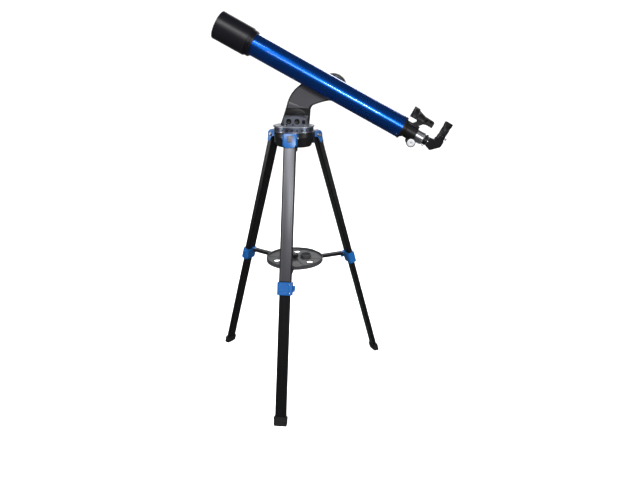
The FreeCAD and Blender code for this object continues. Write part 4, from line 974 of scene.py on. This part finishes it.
@dataclass
class Mount:
    """Turntable, arm, control panel and saddle. Sizes in millimetres."""

    ring_radius: float = 90.0
    ticks: int = 72
    ticks_per_block: int = 3
    arm_front: float = 9.0
    recess_low: float = 45.0
    recess_top: float = 70.0
    recess_radius: float = 66.0
    recess_middle: float = 9.0
    socket_radius: float = 9.5
    socket_height: float = 22.0
    socket_places: tuple[float, float] = (-12.0, 25.0)
    jack_height: float = 6.8
    jack_places: tuple[float, float] = (-22.0, 6.5)
    lamp_place: tuple[float, float] = (53.0, 34.0)
    foot: float = field(init=False)
    panel: tuple[Vector, Vector] = field(init=False)

    def __post_init__(self) -> None:
        """Measure the foot of the arm and the panel."""
        self.panel = tuple(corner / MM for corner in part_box("control_panel"))
        self.foot = self.panel[0].z

    def face(self, x: float, height: float, front: float) -> Matrix:
        """Place on a surface that looks towards the viewer: X right, Y up, Z outwards."""
        return mm(axes(Vector((x, -front, height)), Vector((0, -1, 0)), Vector((1, 0, 0))))

    def build(self) -> None:
        """Dress the mount and add its fine pieces."""
        dress(RING_METAL, "turntable")
        dress(SATIN_BLACK, "arm_rear_shell", "arm_front_shell")
        dress(PANEL_GREY, "control_panel")
        dress(STEEL, "drive_motors")
        dress(GLOSS_BLACK, "power_switch")
        dress(FLAT_ALUMINIUM, "saddle")
        dress(BRASS, "altitude_gear")
        dress(SATIN_BLACK, "saddle_knob_front", "saddle_knob_rear")
        self.graduations()
        self.top_plate()
        self.arm_face()
        self.sockets()
        self.panel_trim()
        self.arm_cap()
        self.saddle_grips()

    def graduations(self) -> None:
        """Raised dark scale blocks round the turning ring, with fine marks under them."""
        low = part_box("turntable")[0].z / MM
        tick = Blank.box("ring_marks", (0, -0.6, 3.4), (0.4, 0.6, 6.4))
        tick.done(0.15, 1).copies(around(self.ticks, self.ring_radius - 0.05, low))
        tick.fit(WORLD, SATIN_BLACK, "mount", "black_plastic")
        block = Blank.box("ring_scale_blocks", (0, -5.5, 8), (0.6, 5.5, 14.5))
        blocks = self.ticks // self.ticks_per_block
        block.done(0.2, 1).copies(around(blocks, self.ring_radius - 0.25, low, 2.5))
        block.fit(WORLD, SATIN_BLACK, "mount", "black_plastic")

    def top_plate(self) -> None:
        """Pale bevelled cover on the turntable's rim, and the bright bead under the ring."""
        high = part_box("turntable")[1]
        radius = high.x / MM
        bevel = [(radius + 0.1, -5.4), (radius + 0.1, -2.2), (radius - 2.1, 0.1), (radius - 9, 0.3),
                 (radius - 10, 0.1)]
        cover = Blank.ring("turntable_cover", bevel, 160)
        cover.done(0.4, 3).fit(shift(z=high.z), PLATE_GREY, "mount", "ring_metal")
        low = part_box("turntable")[0].z
        radius = self.ring_radius
        round_edge = [(radius, 0.3), (radius + 0.9, 0.8), (radius + 0.9, 1.8), (radius, 2.3)]
        bead = Blank.ring("ring_bead", round_edge, 160)
        bead.done(0.2).fit(shift(z=low), FLAT_ALUMINIUM, "mount", "bright_aluminium")

    def arm_face(self) -> None:
        """Grey face of the arm inside a black edge, broken over the panel by a black arched plate: painted shade
        standing for the shaded recess there.
        """
        place = self.face(0, self.foot, self.arm_front)
        for name, height, side, border in (
            ("arm_face", self.recess_top, 1, 6.0), ("arm_foot_face", self.recess_low, -1, 3.0),
        ):
            sheet = Blank.skin(name, "arm_front_shell", place, lambda c, n: n.z > 0.95 and abs(c.z) < 0.5)
            sheet.keep_side((0, height, 0), (0, side, 0)).trim_edge(border).thicken(0.5)
            sheet.done().fit(place, ARM_GREY, "mount", "grey_paint")
        # Painted shade: the flat black arch over the panel stands for the recess there lying in shade.
        radius, middle = self.recess_radius, (self.recess_middle, self.recess_top + 4 - self.recess_radius)
        turns = [math.radians(90 + 5 * k) for k in range(-9, 10)]
        crown = [(middle[0] + radius * math.cos(turn), middle[1] + radius * math.sin(turn)) for turn in turns]
        outline = [(-38, self.recess_low), *reversed(crown), (55, self.recess_low)]
        hood = Blank.plate("panel_hood", outline, 0.1, 1.6)
        hood.done(0.4, 2).fit(place, SATIN_BLACK, "mount", "black_plastic")

    def sockets(self) -> None:
        """Two round multi-pin sockets, two small jacks and a lamp in the panel's face."""
        r = self.socket_radius
        well = [(r - 0.3, -14.0), (r - 0.3, 0.1), (r + 2.6, 0.1), (r + 2.6, 1.2), (r + 1.6, 1.9),
                (r - 0.6, 1.9), (r - 1.2, 1.1), (r - 1.2, -7.0)]
        shell = Blank.turned("panel_sockets", well, 48)
        spots = [shift(x, self.socket_height) for x in self.socket_places]
        foot = self.face(0, self.foot, -self.panel[0].y)
        shell.done(0.25).copies(spots).fit(foot, GLOSS_BLACK, "mount", "black_plastic")
        pin = Blank.turned("socket_pins", [(0.9, -7.2), (0.9, -2.6), (0.5, -2.0)], 12).done(0.15, 1)
        ring = [spot @ turn for spot in spots for turn in around(7, 4.6)]
        pin.copies(ring + spots).fit(foot, BOLT_STEEL, "mount", "steel")
        dish = [(4.2, 0.0), (4.2, 0.9), (3.6, 1.3), (2.7, 1.3), (2.4, 0.9), (2.4, 0.2)]
        jack = Blank.turned("supply_jack", dish, 32).done(0.15)
        jack.copies([shift(x, self.jack_height) for x in self.jack_places])
        jack.fit(foot, GLOSS_BLACK, "mount", "black_plastic")
        lamp = Blank.turned("power_lamp", [(1.9, 0.0), (1.9, 0.9), (1.4, 1.8), (0.7, 2.2)], 24)
        lamp.done().fit(foot @ mm(shift(*self.lamp_place)), RED_LAMP, "mount", "black_plastic")

    def panel_trim(self) -> None:
        """A screw at each lower corner of the panel's face, and a bezel round the switch."""
        low, high = self.panel
        front = -low.y
        half = (high.x - low.x) / 2
        foot = self.face((low.x + high.x) / 2, self.foot, front)
        screws = pan_head("panel_screws", 2.1)
        screws.copies([shift(x, 5.5) for x in (6 - half, half - 6)]).fit(foot, STEEL, "mount", "steel")
        switch_low, switch_high = (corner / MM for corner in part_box("power_switch"))
        wide, tall = (switch_high.x - switch_low.x) / 2, (switch_high.z - switch_low.z) / 2
        bezel = Blank.plate("switch_bezel", rounded(wide + 2.6, tall + 2.6, 2.0, 4), 0.0, 1.0)
        bezel.pick(lambda c, n: n.z > 0.9 and c.z > 0.9).inset(2.0)
        bpy.ops.mesh.delete(type="FACE")
        bezel.pick(lambda c, n: n.z < -0.9 and c.z < 0.1).inset(2.0)
        bpy.ops.mesh.delete(type="FACE")
        bezel.bridge()
        place = self.face((switch_low.x + switch_high.x) / 2, (switch_low.z + switch_high.z) / 2, front)
        bezel.done(0.2).fit(place, GLOSS_BLACK, "mount", "black_plastic")

    def arm_cap(self) -> None:
        """Round bearing cap on the arm's head, with a ring of screws."""
        tilt = joint("altitude_tilt")["pos_m"]
        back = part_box("arm_rear_shell")[1].y
        dish = [(46, 0.0), (46, 1.4), (43, 2.4), (40, 2.4), (38, 1.4), (12, 1.4), (11, 2.6)]
        cap = Blank.turned("bearing_cap", dish, 96)
        place = axes(Vector((tilt[0], back, tilt[2])), Vector((0, 1, 0)), Vector((1, 0, 0)))
        cap.done(0.4).fit(place, SATIN_BLACK, "mount", "black_plastic")
        screws = pan_head("bearing_cap_screws", 2.6)
        screws.copies(around(6, 42.0, 2.2, 15)).fit(place, STEEL, "mount", "steel")

    def saddle_grips(self) -> None:
        """Fluted sleeves on the saddle's two clamp knobs."""
        for which in ("front", "rear"):
            node = "saddle_knob_" + which
            hinge = joint(node + "_turn")
            low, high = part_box(node)
            middle = (low + high) / 2
            place = axes(middle, Vector(hinge["axis"]), Vector((0, 1, 0)))
            grip = ribbed(node + "_grip", 9.7, -1.0, 8.5, 16)
            grip.fit(place, RUBBER, node, "black_plastic")


# ------------------------------------------------------------------ tube


@dataclass
class Tube:
    """Optical tube, focuser, diagonal, eyepiece and finder. Sizes in millimetres along and about the tube."""

    rear: float = 357.0
    collar_start: float = -398.5
    shield_front: float = -552.0
    shield_radius: float = 61.5
    knurl_at: float = 452.2
    diagonal_at: float = 519.0
    thumbscrew_height: float = 44.0
    eyepiece_top: float = 114.0
    finder_half_width: float = 14.9
    place: Matrix = field(init=False)

    def __post_init__(self) -> None:
        """The tube's place: origin on the altitude axis, Z to the eye end, X up across it."""
        tilt = joint("altitude_tilt")["pos_m"]
        low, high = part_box("main_tube")
        up = Vector(joint("eyepiece_lift")["axis"])
        self.place = axes(Vector((tilt[0], (low.y + high.y) / 2, tilt[2])), Vector(TUBE_AXIS), up)

    def at(self, along: float, up: float = 0.0, side: float = 0.0) -> Matrix:
        """A place on the tube, in metres."""
        return self.place @ mm(shift(up, side, along))

    def upward(self, along: float, up: float = 0.0) -> Matrix:
        """A place on the diagonal's axis whose Z runs up to the eyepiece."""
        return self.at(along, up) @ Matrix.Rotation(math.radians(90), 4, "Y")

    def build(self) -> None:
        """Dress the tube and add its fine pieces."""
        dress(TUBE_BLUE, "main_tube")
        dress(SHIELD_BLACK, "dew_shield", "objective_cell")
        dress(SATIN_BLACK, "rear_cell", "focuser_housing", "eyepiece_adapter", "lens_retaining_ring")
        dress(SATIN_BLACK, "finder_bracket", "finder_body", "finder_dial", "focus_knobs")
        dress(GLOSS_BLACK, "diagonal_body", "eyepiece_body")
        dress(BRIGHT_ALUMINIUM, "drawtube")
        dress(FLAT_ALUMINIUM, "dovetail_bar")
        dress(CHROME, "diagonal_nosepiece", "eyepiece_barrel")
        dress(STEEL, "rear_cell_screws", "focus_pinion")
        dress(STEEL, "adapter_thumbscrew_upper", "adapter_thumbscrew_lower")
        dress(LENS, "objective_lenses", "eyepiece_lens", "finder_window")
        dress(MIRROR, "diagonal_mirror")
        self.shield_collar()
        self.rear_screws()
        self.drawtube_ring()
        self.focus_caps()
        self.diagonal_detail()
        self.eyepiece_detail()
        self.finder_detail()

    def shield_collar(self) -> None:
        """Ridged collar behind the dew shield and a rolled lip at its mouth."""
        ridge = Blank.ring("collar_ridges", [(55.8, 0.0), (56.9, 0.5), (56.9, 1.7), (55.8, 2.2)], 128)
        ridge.done(0.2).copies([shift(z=3.6 * k) for k in range(4)])
        ridge.fit(self.at(self.collar_start), SHIELD_BLACK, "tube", "black_plastic")
        r = self.shield_radius
        lip = Blank.ring("shield_lip", [(r - 0.2, 2.2), (r + 0.5, 1.8), (r + 0.5, 0.4), (r - 0.6, -0.3)], 160)
        lip.done(0.2).fit(self.at(self.shield_front + 6), SHIELD_BLACK, "dew_shield", "black_plastic")

    def rear_screws(self) -> None:
        """Screws in the focuser housing's flange."""
        screws = pan_head("housing_screws", 2.4)
        out = Matrix.Rotation(math.radians(90), 4, "Y")
        spots = [turn @ shift(z=-3) @ out for turn in around(3, 33.0, 0, 60)]
        screws.copies(spots).fit(self.at(self.rear + 10), BRASS, "tube", "steel")

    def drawtube_ring(self) -> None:
        """Knurled end ring of the drawtube."""
        ring = ribbed("drawtube_knurl", 27.9, -1.7, 1.7, 60, 0.5)
        ring.fit(self.at(self.knurl_at), BRIGHT_ALUMINIUM, "drawtube", "bright_aluminium")

    def focus_caps(self) -> None:
        """Silver caps and fluted grips on the two focus knobs."""
        shaft = Vector(joint("focus_shaft_turn")["pos_m"])
        low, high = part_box("focus_knobs")
        for side, reach, out in (("near", low.y, -1), ("far", high.y, 1)):
            place = axes(Vector((shaft.x, reach, shaft.z)), Vector((0, out, 0)), Vector((1, 0, 0)))
            dish = [(16.4, -1.2), (16.4, 0.4), (15.4, 1.1), (4.4, 1.1), (3.8, 0.5)]
            cap = Blank.turned("focus_cap_" + side, dish, 64)
            cap.done(0.25).fit(place, KNOB_SILVER, "focus_shaft", "bright_aluminium")
            grip = ribbed("focus_grip_" + side, 20.0, -10.6, -1.6, 40)
            grip.fit(place, RUBBER, "focus_shaft", "black_plastic")

    def diagonal_detail(self) -> None:
        """Thumbscrew in the diagonal's eyepiece holder."""
        screw = ribbed("diagonal_thumbscrew", 4.6, 4.0, 9.5, 18, 0.35)
        holder = self.upward(self.diagonal_at, self.thumbscrew_height)
        side = holder @ Matrix.Rotation(math.radians(-90), 4, "Y") @ mm(shift(z=17.0))
        screw.fit(side, STEEL, "diagonal", "steel")
        stem = Blank.turned("diagonal_thumbscrew_stem", [(1.7, -2.0), (1.7, 5.0), (1.4, 5.4)], 20)
        stem.done(0.1, 1).fit(side, STEEL, "diagonal", "steel")

    def eyepiece_detail(self) -> None:
        """Rubber eyecup and grip band on the eyepiece."""
        top = self.upward(self.diagonal_at, self.eyepiece_top)
        fold = [(17.9, -17.5), (18.3, -16.5), (18.3, -4.0), (17.6, -0.5), (16.0, -0.1), (12.6, -0.3),
                (12.2, -3.0)]
        cup = Blank.ring("eyecup", fold, 64)
        cup.done(0.4, 3).fit(top, RUBBER, "eyepiece", "rubber")
        band = ribbed("eyepiece_grip", 17.7, -52.0, -30.0, 36, 0.4)
        band.fit(top, GLOSS_BLACK, "eyepiece", "rubber")

    def finder_detail(self) -> None:
        """Shoe that carries the finder's foot, the finder's panels, and a fluted grip on its dial."""
        foot = Blank.plate("finder_shoe", [(-11, 0), (11, 0), (8.5, 9), (-8.5, 9)], 0.0, 56.0)
        foot.done(0.8, 2).fit(self.at(self.rear + 4, 29.5) @ SHOE, SATIN_BLACK, "tube", "black_plastic")
        self.finder_cheeks()
        low, high = (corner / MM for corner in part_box("finder_dial"))
        cap = ribbed("finder_dial_grip", (high.x - low.x) / 2 + 0.4, 0.2, high.y - low.y - 0.3, 20, 0.35)
        middle = Vector(((low.x + high.x) / 2, high.y, (low.z + high.z) / 2))
        place = axes(middle, Vector((0, -1, 0)), Vector((1, 0, 0)))
        cap.fit(mm(place), RUBBER, "finder_dial", "black_plastic")

    def finder_cheeks(self) -> None:
        """Raised panels on both sides of the finder's hood and body, and a rim round its window."""
        hood = [(2, 61), (24, 61), (24, 97), (20, 102), (5, 102)]
        body = [(28, 61), (66, 61), (66, 80), (100, 80), (99, 82.5), (60, 85), (28, 95)]
        for name, outline in (("finder_hood_panels", hood), ("finder_side_panels", body)):
            panel = Blank.plate(name, outline, self.finder_half_width, self.finder_half_width + 2.3)
            panel.pick(lambda c, n: n.z > 0.9).inset(3.0).inset(1.0, 0.8)
            panel.done(0.9, 3).copies(both_sides(ALONG))
            panel.fit(self.at(self.rear), GLOSS_BLACK, "tube", "black_plastic")
        arch = [(-15.6, 57.4), (15.6, 57.4), (15.6, 101), (11, 105.4), (-11, 105.4), (-15.6, 101)]
        rim = Blank.plate("finder_front_rim", arch, 0.4, 3.4)
        rim.pick(lambda c, n: abs(n.z) > 0.9).inset(2.6)
        bpy.ops.mesh.bridge_edge_loops()
        rim.done(0.4, 2).fit(self.at(self.rear) @ SHOE, GLOSS_BLACK, "tube", "black_plastic")


# ------------------------------------------------------------------ studio


@dataclass(frozen=True)
class SoftBox:
    """A rectangular light: its place, what it faces, its power in watts, its size in metres and its roll."""

    name: str
    place: tuple[float, float, float]
    aim: tuple[float, float, float]
    power: float
    width: float
    height: float
    roll: float = 0.0


TUBE_SLOPE = math.degrees(math.atan2(TUBE_AXIS[2], TUBE_AXIS[0]))
SOFT_BOXES = (
    SoftBox("key_light", (-0.6, -2.6, 3.6), (0.1, 0, 1.2), 60.0, 1.6, 1.2, TUBE_SLOPE),
    SoftBox("tube_fill", (0.85, -2.9, 1.75), (0.25, -0.078, 1.38), 30.0, 2.6, 0.5, TUBE_SLOPE),
    SoftBox("tube_glint", (0.594, -2.575, 2.019), (0.25, -0.078, 1.38), 18.0, 0.55, 0.12, TUBE_SLOPE),
    SoftBox("left_strip", (-3.2, -1.2, 1.8), (0, 0, 1.0), 55.0, 0.5, 2.6),
    SoftBox("right_strip", (3.0, -1.0, 1.8), (0.2, 0, 1.1), 55.0, 0.5, 2.6),
    SoftBox("back_light", (0.3, 3.2, 2.8), (0, 0, 1.2), 40.0, 2.4, 1.0),
)


@dataclass
class Studio:
    """Floor, lights and camera, in metres and degrees."""

    floor_radius: float = 9.0
    wall_height: float = 9.0
    wall_steps: int = 8
    wall_flare: float = 0.05
    surroundings: float = 0.09
    floor_power: float = 3000.0
    floor_light_size: float = 16.0
    camera_place: tuple[float, float, float] = (0.35586, -2.46949, 1.521)
    heading: float = -5.38
    tilt: float = -16.2
    roll: float = 0.39
    lens: float = 30.33
    lens_shift: float = -0.03125

    def build(self) -> None:
        """Make the floor, the lights and the camera."""
        self.floor()
        self.lights()
        self.camera()

    def floor(self) -> None:
        """A pale floor that curves up into a wall far behind the object."""
        bpy.ops.object.select_all(action="DESELECT")
        bpy.ops.mesh.primitive_circle_add(vertices=96, radius=self.floor_radius, fill_type="NGON")
        ground = bpy.context.object
        ground.name = "studio_floor"
        bpy.ops.object.mode_set(mode="EDIT")
        turn = math.radians(90 / self.wall_steps)
        for step in range(self.wall_steps):
            angle = turn * (step + 1)
            rise = self.wall_height * (math.cos(angle - turn) - math.cos(angle))
            grow = 1 + self.wall_flare * math.cos(angle)
            bpy.ops.mesh.extrude_region_move(TRANSFORM_OT_translate={"value": (0, 0, rise)})
            bpy.ops.transform.resize(value=(grow, grow, 1), center_override=(0, 0, 0))
        bpy.ops.mesh.delete(type="FACE")
        bpy.ops.object.mode_set(mode="OBJECT")
        bpy.ops.object.shade_smooth()
        paper = bpy.data.materials.new("studio_paper")
        paper.use_nodes = True
        shader = paper.node_tree.nodes["Principled BSDF"]
        shader.inputs["Base Color"].default_value = (0.92, 0.92, 0.92, 1)
        shader.inputs["Roughness"].default_value = 0.9
        ground.data.materials.append(paper)
        ground.visible_diffuse = False
        ground.visible_glossy = False

    def lights(self) -> None:
        """Soft boxes for the object, dim surroundings, and a light of its own for the floor."""
        bpy.context.scene.view_settings.view_transform = "Standard"
        world = bpy.data.worlds.new("studio_light")
        bpy.context.scene.world = world
        world.use_nodes = True
        sky = world.node_tree.nodes["Background"]
        sky.inputs["Color"].default_value = (0.93, 0.96, 1, 1)
        sky.inputs["Strength"].default_value = self.surroundings
        for box in SOFT_BOXES:
            self.soft_box(box)
        overhead = SoftBox("floor_light", (0, 0, self.wall_height), (0, 0, 0), self.floor_power,
                           self.floor_light_size, self.floor_light_size)
        paper_light = self.soft_box(overhead)
        floor_only = bpy.data.collections.new("floor_only")
        floor_only.objects.link(bpy.data.objects["studio_floor"])
        paper_light.light_linking.receiver_collection = floor_only

    def soft_box(self, box: SoftBox) -> bpy.types.Object:
        """Hang one soft box.

        Args:
            box: Its place, aim, power and size.

        Returns:
            The light's object.
        """
        lamp = bpy.data.lights.new(box.name, "AREA")
        lamp.shape = "RECTANGLE"
        lamp.energy = box.power
        lamp.size, lamp.size_y = box.width, box.height
        holder = bpy.data.objects.new(box.name, lamp)
        holder.location = box.place
        turn = (Vector(box.aim) - Vector(box.place)).to_track_quat("-Z", "Y")
        holder.rotation_euler = (turn @ Quaternion((0, 0, 1), math.radians(box.roll))).to_euler()
        bpy.context.collection.objects.link(holder)
        return holder

    def camera(self) -> None:
        """The camera, turned from level: heading about Z, then tilt, then roll about its line of sight."""
        data = bpy.data.cameras.new("camera")
        data.lens = self.lens
        data.shift_y = self.lens_shift
        holder = bpy.data.objects.new("camera", data)
        heading = Matrix.Rotation(math.radians(-self.heading), 4, "Z")
        tilt = Matrix.Rotation(math.radians(90 + self.tilt), 4, "X")
        roll = Matrix.Rotation(math.radians(self.roll), 4, "Z")
        holder.matrix_world = Matrix.Translation(self.camera_place) @ heading @ tilt @ roll
        bpy.context.collection.objects.link(holder)
        bpy.context.scene.camera = holder


def main() -> None:
    """Build the telescope's looks in order, then the studio."""
    logging.basicConfig(level=logging.INFO, format="%(message)s")
    for part in (Stand(), Mount(), Tube(), Studio()):
        part.build()
    bpy.context.view_layer.update()


if __name__ == "__main__":
    main()
